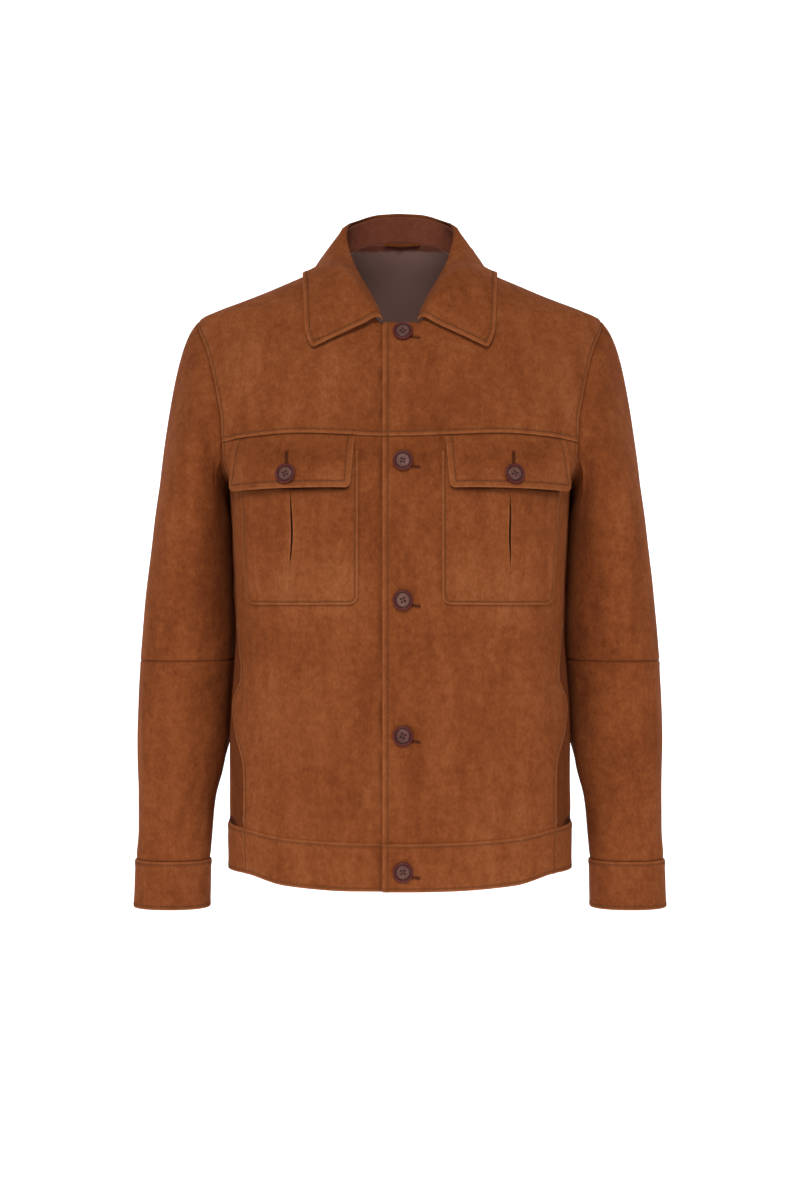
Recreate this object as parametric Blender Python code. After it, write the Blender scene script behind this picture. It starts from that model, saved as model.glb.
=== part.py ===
"""Suede shirt jacket, hip length, filled out and hollow in its worn form.

+X is the wearer's left, -Y the front, +Z up. The origin lies midway between the two points where
the shoulder seams meet the neck, which is where the wearer carries the garment.
All sizes below are millimetres; MM turns them into Blender's metres.

The body and the sleeves are one sewn net of points, worked out from the tables of sections. Each
cut piece takes its own part of the net, draws its border back from the seam and gets its wall.
The pockets, the flaps and the buttons are set out from the points of the front that carries them.
"""
import math
from collections import namedtuple

import bmesh
import bpy
import numpy as np
from mathutils import Matrix, Vector

MM = 0.001

# Cloth
WALL = 1.8
BAND_WALL = 3.0
CUFF_WALL = 2.6
LINING_WALL = 1.0
SEAM_GAP = 0.3
BAND_PROUD = 0.9
LINING_INSET = 1.2
LINING_GAP = 0.6

# Points alike to this many decimals are one point of the net; diagonals this alike are even
WELD_DIGITS = 3
EVEN_WITHIN = 0.001
# A mitre at a sharp turn of the cloth reaches no further than these agreements allow
MITRE_LEAST = 0.5
BORDER_LEAST = 0.4
SHARP_EDGE = 40.0

# Front overlap: each front reaches this far past the centre line, the left one on top
LAP = 18.0
LAP_GAP = 0.9
LAP_STEP = (WALL + LAP_GAP) / 2
BAND_LAP_STEP = (BAND_WALL + LAP_GAP) / 2
LAP_FLAT_TO = 20.0
LAP_FADES_BY = 70.0

# Body sections, from the back neck down to the hem
BodyRow = namedtuple("BodyRow", "z half_width front back middle squareness")
BODY = [
    BodyRow(34, 57, -25, 76, 8, 2.00),
    BodyRow(15, 65, -38, 82, 6, 2.00),
    BodyRow(0, 77, -48, 88, 5, 2.00),
    BodyRow(-15, 107, -57, 94, 5, 2.00),
    BodyRow(-28, 137.5, -66, 99, 5, 2.02),
    BodyRow(-41, 170.5, -73, 104, 5, 2.05),
    BodyRow(-54, 203.5, -79, 109, 5, 2.10),
    BodyRow(-61, 217, -82, 112, 5, 2.15),
    BodyRow(-75, 222, -87, 115, 5, 2.20),
    BodyRow(-100, 224, -98, 121, 4, 2.30),
    BodyRow(-150, 225, -115, 128, 2, 2.40),
    BodyRow(-181, 221, -124, 129, 1, 2.45),
    BodyRow(-200, 213, -128, 129, 0, 2.60),
    BodyRow(-216, 203, -130, 128, 0, 2.80),
    BodyRow(-228, 193, -132, 127, 0, 3.10),
    BodyRow(-240, 184, -133, 126, 0, 3.40),
    BodyRow(-265, 182, -135, 124, 0, 3.30),
    BodyRow(-300, 180.5, -138, 120, 0, 3.10),
    BodyRow(-350, 178.5, -138, 113, 0, 2.90),
    BodyRow(-400, 177.5, -136, 108, 0, 2.80),
    BodyRow(-440, 179.5, -135, 106, 0, 2.80),
    BodyRow(-475, 182.5, -134, 107, 0, 2.80),
    BodyRow(-520, 184.5, -134, 110, 0, 2.80),
    BodyRow(-600, 185, -136, 117, 0, 2.80),
    BodyRow(-670, 184.5, -133, 118, 0, 2.80),
]

# Lines drawn on the body: an angle from the front centre line (90 is the side), and a height
LineRow = namedtuple("LineRow", "angle z")
NECKLINE = [
    LineRow(-14, -75), LineRow(0, -75), LineRow(12, -75), LineRow(17, -67), LineRow(24, -52),
    LineRow(31.5, -38), LineRow(45, -22), LineRow(59, -12), LineRow(75, -5), LineRow(90, 0),
    LineRow(110, 8), LineRow(135, 20), LineRow(160, 29), LineRow(180, 32),
]
YOKE_SEAM = [
    LineRow(-12, -197.6), LineRow(0, -197.6), LineRow(20, -196), LineRow(43, -193.5),
    LineRow(58, -196.5), LineRow(67.1, -200.5),
]
BAND_SEAM = [
    LineRow(-12, -615.3), LineRow(0, -615.3), LineRow(20, -614.5), LineRow(45, -611),
    LineRow(61.8, -604.5), LineRow(90, -603), LineRow(120, -604), LineRow(180, -606),
]
HEM = [
    LineRow(-12, -665.3), LineRow(0, -665.3), LineRow(20, -665), LineRow(45, -661),
    LineRow(61.8, -652), LineRow(75, -653), LineRow(90, -656), LineRow(120, -657),
    LineRow(180, -657),
]
SIDE_SEAM = [
    LineRow(61.8, -604.5), LineRow(61.8, -575), LineRow(62.5, -541), LineRow(70, -500),
    LineRow(74, -477), LineRow(69, -460), LineRow(66, -444), LineRow(71.5, -392),
    LineRow(71, -330), LineRow(70, -270), LineRow(68.5, -218),
]
# The armhole runs from the shoulder point down the front, under the arm and up the back
ARMHOLE_YOKE = [
    LineRow(90, -61), LineRow(84.3, -75), LineRow(78.1, -96), LineRow(71.6, -136),
    LineRow(67.4, -178), LineRow(67.1, -200.5),
]
ARMHOLE_FRONT = [LineRow(67.1, -200.5), LineRow(68.5, -218)]
ARMHOLE_UNDER = [LineRow(68.5, -218), LineRow(73, -229), LineRow(81, -237), LineRow(90, -240)]
ARMHOLE_BACK = [
    LineRow(90, -240), LineRow(100, -237), LineRow(108, -228), LineRow(111.5, -210),
    LineRow(112, -181), LineRow(107.7, -136), LineRow(101.6, -96), LineRow(95.7, -75),
    LineRow(90, -61),
]
UNDERARM_Z = -240.0

# Large soft folds, each a line on the unrolled cloth: a trough has a depth below zero
FoldRow = namedtuple("FoldRow", "turn_1 z_1 turn_2 z_2 width height")
BODY_ROUND = 150.0
BODY_FOLDS = [
    FoldRow(24, -400, 21, -585, 26, 1.6),
    FoldRow(38, -390, 44, -590, 17, -2.0),
    FoldRow(56, -400, 54, -590, 16, 1.5),
    FoldRow(88, -470, 84, -590, 15, -2.6),
    FoldRow(101, -300, 107, -580, 16, -3.2),
    FoldRow(121, -260, 117, -560, 20, 3.0),
    FoldRow(140, -250, 133, -590, 18, -3.4),
    FoldRow(158, -330, 156, -585, 20, 2.6),
    FoldRow(172, -410, 176, -590, 17, -2.4),
    FoldRow(104, -225, 124, -170, 15, -3.0),
    FoldRow(62, -262, 40, -300, 20, -1.6),
]
SLEEVE_ROUND = 52.0
SLEEVE_FOLDS = [
    FoldRow(44, -455, 42, -610, 8, 1.8),
    FoldRow(97, -150, 92, -235, 11, 1.7),
    FoldRow(70, -380, 112, -420, 11, -1.8),
    FoldRow(100, -445, 140, -462, 10, -2.2),
    FoldRow(104, -560, 84, -600, 12, 1.4),
    FoldRow(228, -400, 290, -425, 12, -2.6),
    FoldRow(225, -450, 280, -440, 10, 2.2),
    FoldRow(262, -240, 284, -350, 15, -2.8),
    FoldRow(310, -200, 300, -330, 14, 2.0),
    FoldRow(250, -540, 275, -610, 12, -2.2),
]

# Sleeve sections below the bicep ring; turn 0 is the outer side, 90 the front, 180 the inner
SleeveRow = namedtuple("SleeveRow", "z outer inner front back squareness")
SLEEVE = [
    SleeveRow(-290, 267, 184.5, -73, 72, 2.30),
    SleeveRow(-350, 274, 182.0, -67, 63, 2.30),
    SleeveRow(-400, 279, 181.0, -62, 57, 2.28),
    SleeveRow(-431, 281.5, 183.0, -60, 53, 2.25),
    SleeveRow(-475, 283.5, 185.8, -57, 48, 2.22),
    SleeveRow(-513, 284.5, 187.6, -54, 43, 2.20),
    SleeveRow(-546, 284.3, 191.5, -51, 38, 2.20),
    SleeveRow(-580, 283.5, 199.5, -49, 32, 2.20),
    SleeveRow(-613, 283.5, 203.0, -47, 26, 2.20),
    SleeveRow(-645.5, 285.5, 205.5, -46, 22, 2.20),
    SleeveRow(-697.5, 287.5, 206.5, -45, 21, 2.20),
]
BICEP_Z = -290.0
ELBOW_Z = -431.0
CUFF_SEAM_Z = -645.5
CUFF_HEM_Z = -697.5
# How the sleeve leaves the armhole all round: a direction and how far it reaches that way
HeadRow = namedtuple("HeadRow", "turn x y z reach")
SLEEVE_HEAD = [
    HeadRow(0, 0.93, 0.00, -0.36, 27),
    HeadRow(45, 0.92, -0.25, -0.30, 24),
    HeadRow(90, 0.82, -0.30, -0.48, 24),
    HeadRow(135, 0.72, -0.25, -0.65, 16),
    HeadRow(180, 0.75, 0.00, -0.66, 9),
    HeadRow(225, 0.72, 0.25, -0.65, 16),
    HeadRow(270, 0.82, 0.30, -0.48, 24),
    HeadRow(315, 0.92, 0.25, -0.30, 24),
    HeadRow(360, 0.93, 0.00, -0.36, 27),
]
BICEP_PULL = 0.36

# Collar stations from the centre back to the front end: the roll line and the leaf's edge
CollarRow = namedtuple("CollarRow", "angle roll_x roll_y roll_z edge_x edge_y edge_z sag")
COLLAR = [
    CollarRow(180, 0, 86, 69, 0, 97, -5, 0),
    CollarRow(160, 24, 83, 67, 37, 92, -6, 0),
    CollarRow(138, 44, 71, 60, 70, 76, -9, 0),
    CollarRow(115, 56, 51, 52, 94, 50, -11, 1),
    CollarRow(95, 60, 31, 43, 103, 22, -15.5, 2),
    CollarRow(78, 58.5, 14, 24, 103, -4, -16.5, 2),
    CollarRow(62, 54, -3, 5, 102.5, -39, -27, 0),
    CollarRow(48, 46.5, -22, -14.5, 101.5, -62, -44, 0),
    CollarRow(34, 36.4, -43, -34.6, 100.5, -79, -66, 0),
    CollarRow(22, 26.5, -63, -54.6, 99, -89, -85, 0),
    CollarRow(13, 16.5, -93, -73.5, 92, -97.5, -103.5, 0),
]
Station = namedtuple("Station", "angle seam normal roll rise out edge sag")
COLLAR_WALL = 2.0
COLLAR_CLEAR = 2.6
STAND_CLEAR = 2.4
STAND_ENDS = 0.86
ROLL_HALF = 2.0
CREST_FROM = 22.0
CREST_TO = 40.0
STAND_BEHIND = 0.5
ROLL_RISE = 1.8
ROLL_END_DROP = 1.0
STATIONS = 15
# How the leaf is lifted off the body: passes, softness of the start and what each pass gives back
REST_PASSES = 3
REST_SOFTNESS = 1.5
REST_REACH = 12.0
REST_EASE = 0.6
FALL_SHARES = (0.0, 0.12, 0.25, 0.42, 0.60, 0.80, 1.0)
OVER_SEAM = 0.25
OVER_SEAM_OUT = 4.6
OVER_SEAM_UP = 2.0
OVER_SEAM_FROM = 72.0
OVER_SEAM_TO = 50.0
STAND_ROWS = 3

# Chest pocket and flap, on the front view's X and Z
POCKET_INNER_X = 43.0
POCKET_OUTER_X_TOP = 168.0
POCKET_OUTER_X_LOW = 158.0
POCKET_TOP_Z = -213.0
POCKET_LOW_Z = -370.6
POCKET_CORNER = 9.0
POCKET_LIFT = 0.8
POCKET_PUFF = 2.0
PLEAT_X = 111.6
PLEAT_TOP_Z = -256.0
PLEAT_LOW_Z = -334.0
PLEAT_HALF_GAP = 2.0
PLEAT_LIP = 1.5
PLEAT_FLOOR = 1.0
PLEAT_SLOT = 0.25
PLEAT_BANK = 0.6
POCKET_PLEAT_SIDE = 9.0
POCKET_PUFF_WITHIN = 55.0
POCKET_ROWS_Z = [POCKET_TOP_Z, -232, PLEAT_TOP_Z, -268, -284, -302, -320, PLEAT_LOW_Z, -350,
                 POCKET_LOW_Z + 4, POCKET_LOW_Z]
FLAP_INNER_X_TOP = 46.2
FLAP_INNER_X_LOW = 50.4
FLAP_OUTER_X_TOP = 171.5
FLAP_OUTER_X_LOW = 175.5
FLAP_TOP_DROP = 1.2
FLAP_BEND_Z = -200.0
FLAP_LOW_Z = -251.5
FLAP_CORNER = 6.0
FLAP_OVER_POCKET = 0.6
FLAP_STEP_LENGTH = 12.0
FLAP_BOW = 2.2

# Buttons: a turned disc with a raised rim and four holes
BUTTON_X = 3.0
FRONT_BUTTON_Z = (-86.0, -223.3, -366.0, -505.1, -644.1)
FLAP_BUTTON_X = 117.0
FLAP_BUTTON_Z = -237.0
BUTTON_PROFILE = [
    (0.0, 0.0), (9.0, 0.0), (10.6, 1.3), (10.5, 2.8), (9.3, 3.5), (7.4, 2.2), (0.0, 2.2),
]
BUTTON_SIDES = 16
HOLE_RADIUS = 1.0
HOLE_OFFSET = 2.0
HOLE_SIDES = 6
DRILL_LENGTH = 8.0
DRILL_MIDDLE = 1.0
BUTTON_LIFT = 0.5

# Hanger loop
LOOP_LENGTH = 45.0
LOOP_HEIGHT = 5.0
LOOP_WALL = 1.5
LOOP_INSIDE = 5.7
LOOP_Z = 27.0

# Colours from the photograph, as linear values
SUEDE = (0.262, 0.078, 0.026)
SUEDE_CUFF = (0.246, 0.070, 0.023)
STAND_SUEDE = (0.128, 0.036, 0.019)
LINING = (0.094, 0.048, 0.040)
HORN = (0.105, 0.030, 0.018)


# ---------------------------------------------------------------- curves and sections

def smooth_curve(xs, ys):
    """A smooth function through the rows that never overshoots them."""
    order = np.argsort(xs)
    xs = np.array(xs, float)[order]
    ys = np.array(ys, float)[order]
    step = np.diff(xs)
    slope = np.diff(ys) / step
    tangent = np.zeros_like(ys)
    tangent[0] = slope[0]
    tangent[-1] = slope[-1]
    for i in range(1, len(xs) - 1):
        if slope[i - 1] * slope[i] > 0:
            near = 2 * step[i] + step[i - 1]
            far = step[i] + 2 * step[i - 1]
            tangent[i] = (near + far) / (near / slope[i - 1] + far / slope[i])

    def value(x):
        x = min(max(x, xs[0]), xs[-1])
        i = min(int(np.searchsorted(xs, x, "right")) - 1, len(xs) - 2)
        t = (x - xs[i]) / step[i]
        rise = (3 - 2 * t) * t * t
        return (ys[i] * (1 - rise) + ys[i + 1] * rise
                + step[i] * t * (1 - t) * (tangent[i] * (1 - t) - tangent[i + 1] * t))
    return value


def table_curves(rows, key):
    """One smooth function of the key column for each other column of a table."""
    keys = [getattr(row, key) for row in rows]
    return {name: smooth_curve(keys, [getattr(row, name) for row in rows])
            for name in rows[0]._fields if name != key}


def smooth_step(low, high, x):
    t = min(max((x - low) / (high - low), 0.0), 1.0)
    return t * t * (3 - 2 * t)


def fold_height(folds, round_size, turn, z):
    """Sum of the soft ridges and troughs at a place on the unrolled cloth."""
    scale = math.radians(1) * round_size
    total = 0.0
    for row in folds:
        along = ((row.turn_2 - row.turn_1) * scale, row.z_2 - row.z_1)
        place = ((turn - row.turn_1) * scale, z - row.z_1)
        share = (place[0] * along[0] + place[1] * along[1]) / (along[0] ** 2 + along[1] ** 2)
        share = min(max(share, 0.0), 1.0)
        off = (place[0] - share * along[0]) ** 2 + (place[1] - share * along[1]) ** 2
        total += row.height * math.exp(-off / row.width ** 2)
    return total


body_curve = table_curves(BODY, "z")
sleeve_curve = table_curves(SLEEVE, "z")
head_curve = table_curves(SLEEVE_HEAD, "turn")
neck_z = smooth_curve([row.angle for row in NECKLINE], [row.z for row in NECKLINE])
yoke_z = smooth_curve([row.angle for row in YOKE_SEAM], [row.z for row in YOKE_SEAM])
band_z = smooth_curve([row.angle for row in BAND_SEAM], [row.z for row in BAND_SEAM])
hem_z = smooth_curve([row.angle for row in HEM], [row.z for row in HEM])


def body_section(angle, z):
    """Half width, depth on this side, middle and squareness of the section at a height."""
    middle = body_curve["middle"](z)
    if math.cos(math.radians(angle)) > 0:
        depth = middle - body_curve["front"](z)
    else:
        depth = body_curve["back"](z) - middle
    return body_curve["half_width"](z), depth, middle, body_curve["squareness"](z)


def body_point(angle, z):
    """The outer face of the body."""
    width, depth, middle, power = body_section(angle, z)
    s = math.sin(math.radians(angle))
    c = math.cos(math.radians(angle))
    reach = ((abs(s) / width) ** power + (abs(c) / depth) ** power) ** (-1 / power)
    reach += fold_height(BODY_FOLDS, BODY_ROUND, abs(angle), z)
    return Vector((reach * s, middle - reach * c, z))


def body_normal(angle, z):
    step = 0.4
    across = body_point(angle + step, z) - body_point(angle - step, z)
    up = body_point(angle, z + step) - body_point(angle, z - step)
    return across.cross(up).normalized()


def front_angle(x, z):
    """The angle at which the front stands at this X."""
    width, depth, middle, power = body_section(0, z)
    inward = depth * (1 - min(abs(x) / width, 0.999) ** power) ** (1 / power)
    return math.degrees(math.atan2(x, inward))


def sleeve_point(turn, z):
    """The outer face of the sleeve below the bicep ring."""
    outer = sleeve_curve["outer"](z)
    inner = sleeve_curve["inner"](z)
    front = sleeve_curve["front"](z)
    back = sleeve_curve["back"](z)
    power = sleeve_curve["squareness"](z)
    s = math.sin(math.radians(turn))
    c = math.cos(math.radians(turn))
    width = (outer - inner) / 2
    depth = (back - front) / 2
    reach = ((abs(c) / width) ** power + (abs(s) / depth) ** power) ** (-1 / power)
    reach += fold_height(SLEEVE_FOLDS, SLEEVE_ROUND, turn, z)
    return Vector(((outer + inner) / 2 + reach * c, (front + back) / 2 - reach * s, z))


def sleeve_head_point(seam, turn, share):
    """Between the armhole seam and the bicep ring, on a curve that leaves the seam outwards."""
    bicep = sleeve_point(turn, BICEP_Z)
    below = sleeve_point(turn, BICEP_Z - 10)
    out = Vector((head_curve["x"](turn), head_curve["y"](turn), head_curve["z"](turn))).normalized()
    pull = (bicep - below).normalized() * BICEP_PULL * (bicep - seam).length
    p1 = seam + out * head_curve["reach"](turn)
    p2 = bicep + pull
    t = share
    point = (seam * (1 - t) ** 3 + p1 * 3 * t * (1 - t) ** 2
             + p2 * 3 * t * t * (1 - t) + bicep * t ** 3)
    fold = fold_height(SLEEVE_FOLDS, SLEEVE_ROUND, turn, point.z) * smooth_step(0.0, 0.5, t)
    rounded = fold_height(SLEEVE_FOLDS, SLEEVE_ROUND, turn, BICEP_Z) * t ** 3
    outward = Vector((math.cos(math.radians(turn)), -math.sin(math.radians(turn)), 0))
    return point + outward * (fold - rounded)


# ---------------------------------------------------------------- lines on the body

def line_through(rows):
    """A smooth line through rows of angle and height, as a function of a share from 0 to 1."""
    at = list(range(len(rows)))
    angle = smooth_curve(at, [row.angle for row in rows])
    height = smooth_curve(at, [row.z for row in rows])
    return lambda share: (angle(share * at[-1]), height(share * at[-1]))


def line_along(height, start, end):
    """A line that follows a height function from one angle to another."""
    return lambda share: (start + (end - start) * share, height(start + (end - start) * share))


def centre_edge(low, high):
    """The edge of a front, at LAP past the centre line."""
    def place(share):
        z = low + (high - low) * share
        return front_angle(-LAP, z), z
    return place


def straight(start, end):
    return lambda share: (start[0] + (end[0] - start[0]) * share,
                          start[1] + (end[1] - start[1]) * share)


def walk(line, count, dense=80):
    """Evenly spaced places along a line, measured on the body."""
    places = [line(i / dense) for i in range(dense + 1)]
    points = [body_point(*place) for place in places]
    run = [0.0]
    for a, b in zip(points, points[1:]):
        run.append(run[-1] + (b - a).length)
    goals = np.linspace(0, run[-1], count + 1)
    angles = np.interp(goals, run, [place[0] for place in places])
    heights = np.interp(goals, run, [place[1] for place in places])
    return list(zip(angles, heights))


def fill_patch(low, high, left, right):
    """Coons patch between four borders, each a list of places."""
    low, high, left, right = (np.array(side, float) for side in (low, high, left, right))
    u = np.linspace(0, 1, len(low))[None, :, None]
    v = np.linspace(0, 1, len(left))[:, None, None]
    ruled = (1 - v) * low[None] + v * high[None] + (1 - u) * left[:, None] + u * right[:, None]
    corners = ((1 - u) * (1 - v) * low[0] + u * (1 - v) * low[-1]
               + (1 - u) * v * high[0] + u * v * high[-1])
    return ruled - corners


def on_body(patch):
    return [[body_point(*place) for place in row] for row in patch]


# ---------------------------------------------------------------- the sewn net

def two_triangles(points, quad):
    """A quad cut along its shorter diagonal, so that layers over the same quad match."""
    a, b, c, d = quad
    if (points[a] - points[c]).length <= (points[b] - points[d]).length + EVEN_WITHIN:
        return [(a, b, c), (a, c, d)]
    return [(a, b, d), (b, c, d)]


class SewnNet:
    """All outer faces of body and sleeves, welded at the seams and labelled by piece."""

    def __init__(self):
        self.points = []
        self.lookup = {}
        self.faces = []

    def index_of(self, point):
        key = tuple(round(value, WELD_DIGITS) for value in point)
        if key not in self.lookup:
            self.lookup[key] = len(self.points)
            self.points.append(Vector(point))
        return self.lookup[key]

    def add(self, piece, grid, mirrored=False):
        """Rows and columns of points; the columns run right and the rows up, seen from outside."""
        if mirrored:
            grid = [[Vector((-p.x, p.y, p.z)) for p in reversed(row)] for row in grid]
        index = [[self.index_of(point) for point in row] for row in grid]
        for low, high in zip(index, index[1:]):
            for c in range(len(low) - 1):
                self.faces.append((piece, (low[c], low[c + 1], high[c + 1], high[c])))

    def finish(self):
        """Vertex normals over all the faces at a point, and how far a mitre there must reach."""
        face_normals = []
        around = [[] for _ in self.points]
        for piece, face in self.faces:
            a, b, c, d = (self.points[i] for i in face)
            normal = (c - a).cross(d - b).normalized()
            for i in face:
                around[i].append(normal)
        self.normals = []
        self.mitres = []
        for normals in around:
            total = sum(normals, Vector()).normalized()
            agreement = sum(total.dot(n) for n in normals) / len(normals)
            self.normals.append(total)
            self.mitres.append(1 / max(agreement, MITRE_LEAST))

    def piece_wall(self, piece, outer, inner, border, lift=None):
        """The closed wall of a piece between two heights, its border drawn back by a distance."""
        faces = [face for name, face in self.faces if name == piece]
        used = sorted({i for face in faces for i in face})
        edges = {(face[k], face[(k + 1) % 4]) for face in faces for k in range(4)}
        rim = [(a, b) for a, b in edges if (b, a) not in edges]
        after = {a: b for a, b in rim}
        before = {b: a for a, b in rim}
        shift = {}
        for i in after:
            d1 = (self.points[i] - self.points[before[i]]).normalized()
            d2 = (self.points[after[i]] - self.points[i]).normalized()
            w1 = self.normals[i].cross(d1).normalized()
            w2 = self.normals[i].cross(d2).normalized()
            both = (w1 + w2).normalized()
            shift[i] = both * (border / max(both.dot(w1), BORDER_LEAST))
        top, low = [], []
        for i in used:
            base = self.points[i] + shift.get(i, Vector())
            extra = lift(self.points[i]) if lift else 0.0
            top.append(base + self.normals[i] * self.mitres[i] * (outer + extra))
            low.append(base + self.normals[i] * self.mitres[i] * (inner + extra))
        place = {i: k for k, i in enumerate(used)}
        count = len(used)
        walls = []
        for face in faces:
            for corner in two_triangles(self.points, face):
                walls.append(tuple(place[i] for i in corner))
                walls.append(tuple(count + place[i] for i in reversed(corner)))
        for a, b in rim:
            # the higher end's outer corner always joins the lower end's inner one, so that the
            # rims of two neighbours match
            if self.points[a].z > self.points[b].z:
                walls.append((place[b], place[a], count + place[b]))
                walls.append((place[a], count + place[a], count + place[b]))
            else:
                walls.append((place[b], place[a], count + place[a]))
                walls.append((place[b], count + place[a], count + place[b]))
        return top + low, walls


def sew_body_and_sleeves():
    net = SewnNet()
    # borders on the +X half
    armhole_yoke = walk(line_through(ARMHOLE_YOKE), 10)
    armhole_front = walk(line_through(ARMHOLE_FRONT), 1)
    armhole_under = walk(line_through(ARMHOLE_UNDER), 4)
    armhole_back = walk(line_through(ARMHOLE_BACK), 12)
    side = walk(line_through(SIDE_SEAM), 12)
    shoulder = walk(straight((90, 0), (90, -61)), 10)
    yoke_start = front_angle(-LAP, YOKE_SEAM[0].z)
    yoke_seam = walk(line_along(yoke_z, yoke_start, YOKE_SEAM[-1].angle), 10)
    band_start = front_angle(-LAP, BAND_SEAM[0].z)
    band_front = walk(line_along(band_z, band_start, SIDE_SEAM[0].angle), 10)
    band_back = walk(line_along(band_z, SIDE_SEAM[0].angle, 180), 14)
    front_edge = walk(centre_edge(BAND_SEAM[0].z, YOKE_SEAM[0].z), 13)
    neck_start = front_angle(-LAP, NECKLINE[0].z)
    yoke_edge = walk(centre_edge(YOKE_SEAM[0].z, NECKLINE[0].z), 3)
    neck_front = walk(line_along(neck_z, neck_start, 90), 7)
    neck_back = walk(line_along(neck_z, 180, 90), 5)
    under_line = walk(straight((90, UNDERARM_Z), (180, UNDERARM_Z)), 10)
    back_low = walk(straight((180, BAND_SEAM[-1].z), (180, UNDERARM_Z)), 12)
    back_high = walk(straight((180, UNDERARM_Z), (180, NECKLINE[-1].z)), 7)
    hem_front = walk(line_along(hem_z, front_angle(-LAP, HEM[0].z), SIDE_SEAM[0].angle), 10)
    hem_back = walk(line_along(hem_z, SIDE_SEAM[0].angle, 180), 14)

    patches = {
        "front": fill_patch(band_front, yoke_seam, front_edge, side + armhole_front[::-1][1:]),
        "yoke": fill_patch(yoke_seam, shoulder, yoke_edge + neck_front[1:], armhole_yoke[::-1]),
        "back_low": fill_patch(band_back, armhole_under + under_line[1:], side, back_low),
        "back_high": fill_patch(under_line, shoulder[::-1], armhole_back,
                                back_high + neck_back[1:]),
        "band_front": fill_patch(hem_front, band_front,
                                 walk(straight(hem_front[0], band_front[0]), 2),
                                 walk(straight(hem_front[-1], band_front[-1]), 2)),
        "band_back": fill_patch(hem_back, band_back,
                                walk(straight(hem_back[0], band_back[0]), 2),
                                walk(straight(hem_back[-1], band_back[-1]), 2)),
    }
    names = {
        "front": ("front_left", "front_right"),
        "yoke": ("yoke_left", "yoke_right"),
        "back_low": ("back", "back"),
        "back_high": ("back", "back"),
        "band_front": ("waistband_left", "waistband_right"),
        "band_back": ("waistband_back", "waistband_back"),
    }
    for name, patch in patches.items():
        grid = on_body(patch)
        for piece, mirrored in zip(names[name], (False, True)):
            net.add(piece, grid, mirrored)

    # the sleeve's first ring is the armhole itself
    under = armhole_yoke + armhole_front[1:] + armhole_under[1:]
    seam = [body_point(*place) for place in under + armhole_back[1:]]
    run = [0.0]
    for a, b in zip(seam, seam[1:]):
        run.append(run[-1] + (b - a).length)
    half = run[len(under) - 1]
    turns = [180 * s / half if s <= half else 180 + 180 * (s - half) / (run[-1] - half) for s in run]
    head = [[sleeve_head_point(point, turn, share) for point, turn in zip(seam, turns)]
            for share in np.linspace(0, 1, 9)]

    def tube(start, end, count):
        return [[sleeve_point(turn, z) for turn in turns[:-1] + [0.0]]
                for z in np.linspace(start, end, count + 1)]
    rings = {
        "sleeve_upper": head[:-1] + tube(BICEP_Z, ELBOW_Z, 3),
        "sleeve_lower": tube(ELBOW_Z, CUFF_SEAM_Z, 7),
        "cuff": tube(CUFF_SEAM_Z, CUFF_HEM_Z, 2),
    }
    for name, grid in rings.items():
        # rows run down and turns run left, so both are reversed for the net
        upright = [list(reversed(row)) for row in reversed(grid)]
        net.add(name + "_left", upright)
        net.add(name + "_right", upright, mirrored=True)
    net.finish()
    return net


def lap_lift(step, side):
    """How far a front stands out or in near the overlap; side is 1 on the left, on top."""
    def lift(point):
        return side * step * (1 - smooth_step(LAP_FLAT_TO, LAP_FADES_BY, side * point.x))
    return lift


# ---------------------------------------------------------------- Blender objects

def clear_scene():
    for item in list(bpy.data.objects):
        bpy.data.objects.remove(item, do_unlink=True)


def make_material(name, colour, roughness):
    material = bpy.data.materials.new(name)
    material.use_nodes = True
    shader = material.node_tree.nodes["Principled BSDF"]
    shader.inputs["Base Color"].default_value = (*colour, 1)
    shader.inputs["Roughness"].default_value = roughness
    shader.inputs["Metallic"].default_value = 0.0
    return material


def make_object(name, points, faces, material, mirrored=False):
    """A closed mesh object from millimetre points; a mirrored one has its faces turned back."""
    if mirrored:
        points = [(-p[0], p[1], p[2]) for p in points]
        faces = [tuple(reversed(face)) for face in faces]
    mesh = bpy.data.meshes.new(name)
    mesh.from_pydata([tuple(value * MM for value in p) for p in points], [], faces)
    mesh.materials.append(material)
    mesh.shade_smooth()
    mesh.set_sharp_from_angle(angle=math.radians(SHARP_EDGE))
    item = bpy.data.objects.new(name, mesh)
    bpy.context.scene.collection.objects.link(item)
    return item


def grid_wall(grid, heights_out, heights_in, normals):
    """A closed wall over a grid of points, its two faces at given heights along the normals."""
    rows, columns = len(grid), len(grid[0])
    flat = [(r, c) for r in range(rows) for c in range(columns)]
    base = [grid[r][c] for r, c in flat]
    top = [grid[r][c] + normals[r][c] * heights_out[r][c] for r, c in flat]
    low = [grid[r][c] + normals[r][c] * heights_in[r][c] for r, c in flat]
    count = rows * columns
    faces = []
    for r in range(rows - 1):
        for c in range(columns - 1):
            quad = [r * columns + c, r * columns + c + 1,
                    (r + 1) * columns + c + 1, (r + 1) * columns + c]
            for corner in two_triangles(base, quad):
                faces.append(corner)
                faces.append(tuple(count + i for i in reversed(corner)))
    ring = [c for c in range(columns)]
    ring += [r * columns + columns - 1 for r in range(1, rows)]
    ring += [(rows - 1) * columns + c for c in range(columns - 2, -1, -1)]
    ring += [r * columns for r in range(rows - 2, 0, -1)]
    for a, b in zip(ring, ring[1:] + ring[:1]):
        faces.append((b, a, count + a, count + b))
    return top + low, faces


def even_wall(grid, wall):
    """Heights of the two faces of an even wall about a grid."""
    return [[wall / 2] * len(row) for row in grid], [[-wall / 2] * len(row) for row in grid]


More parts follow.
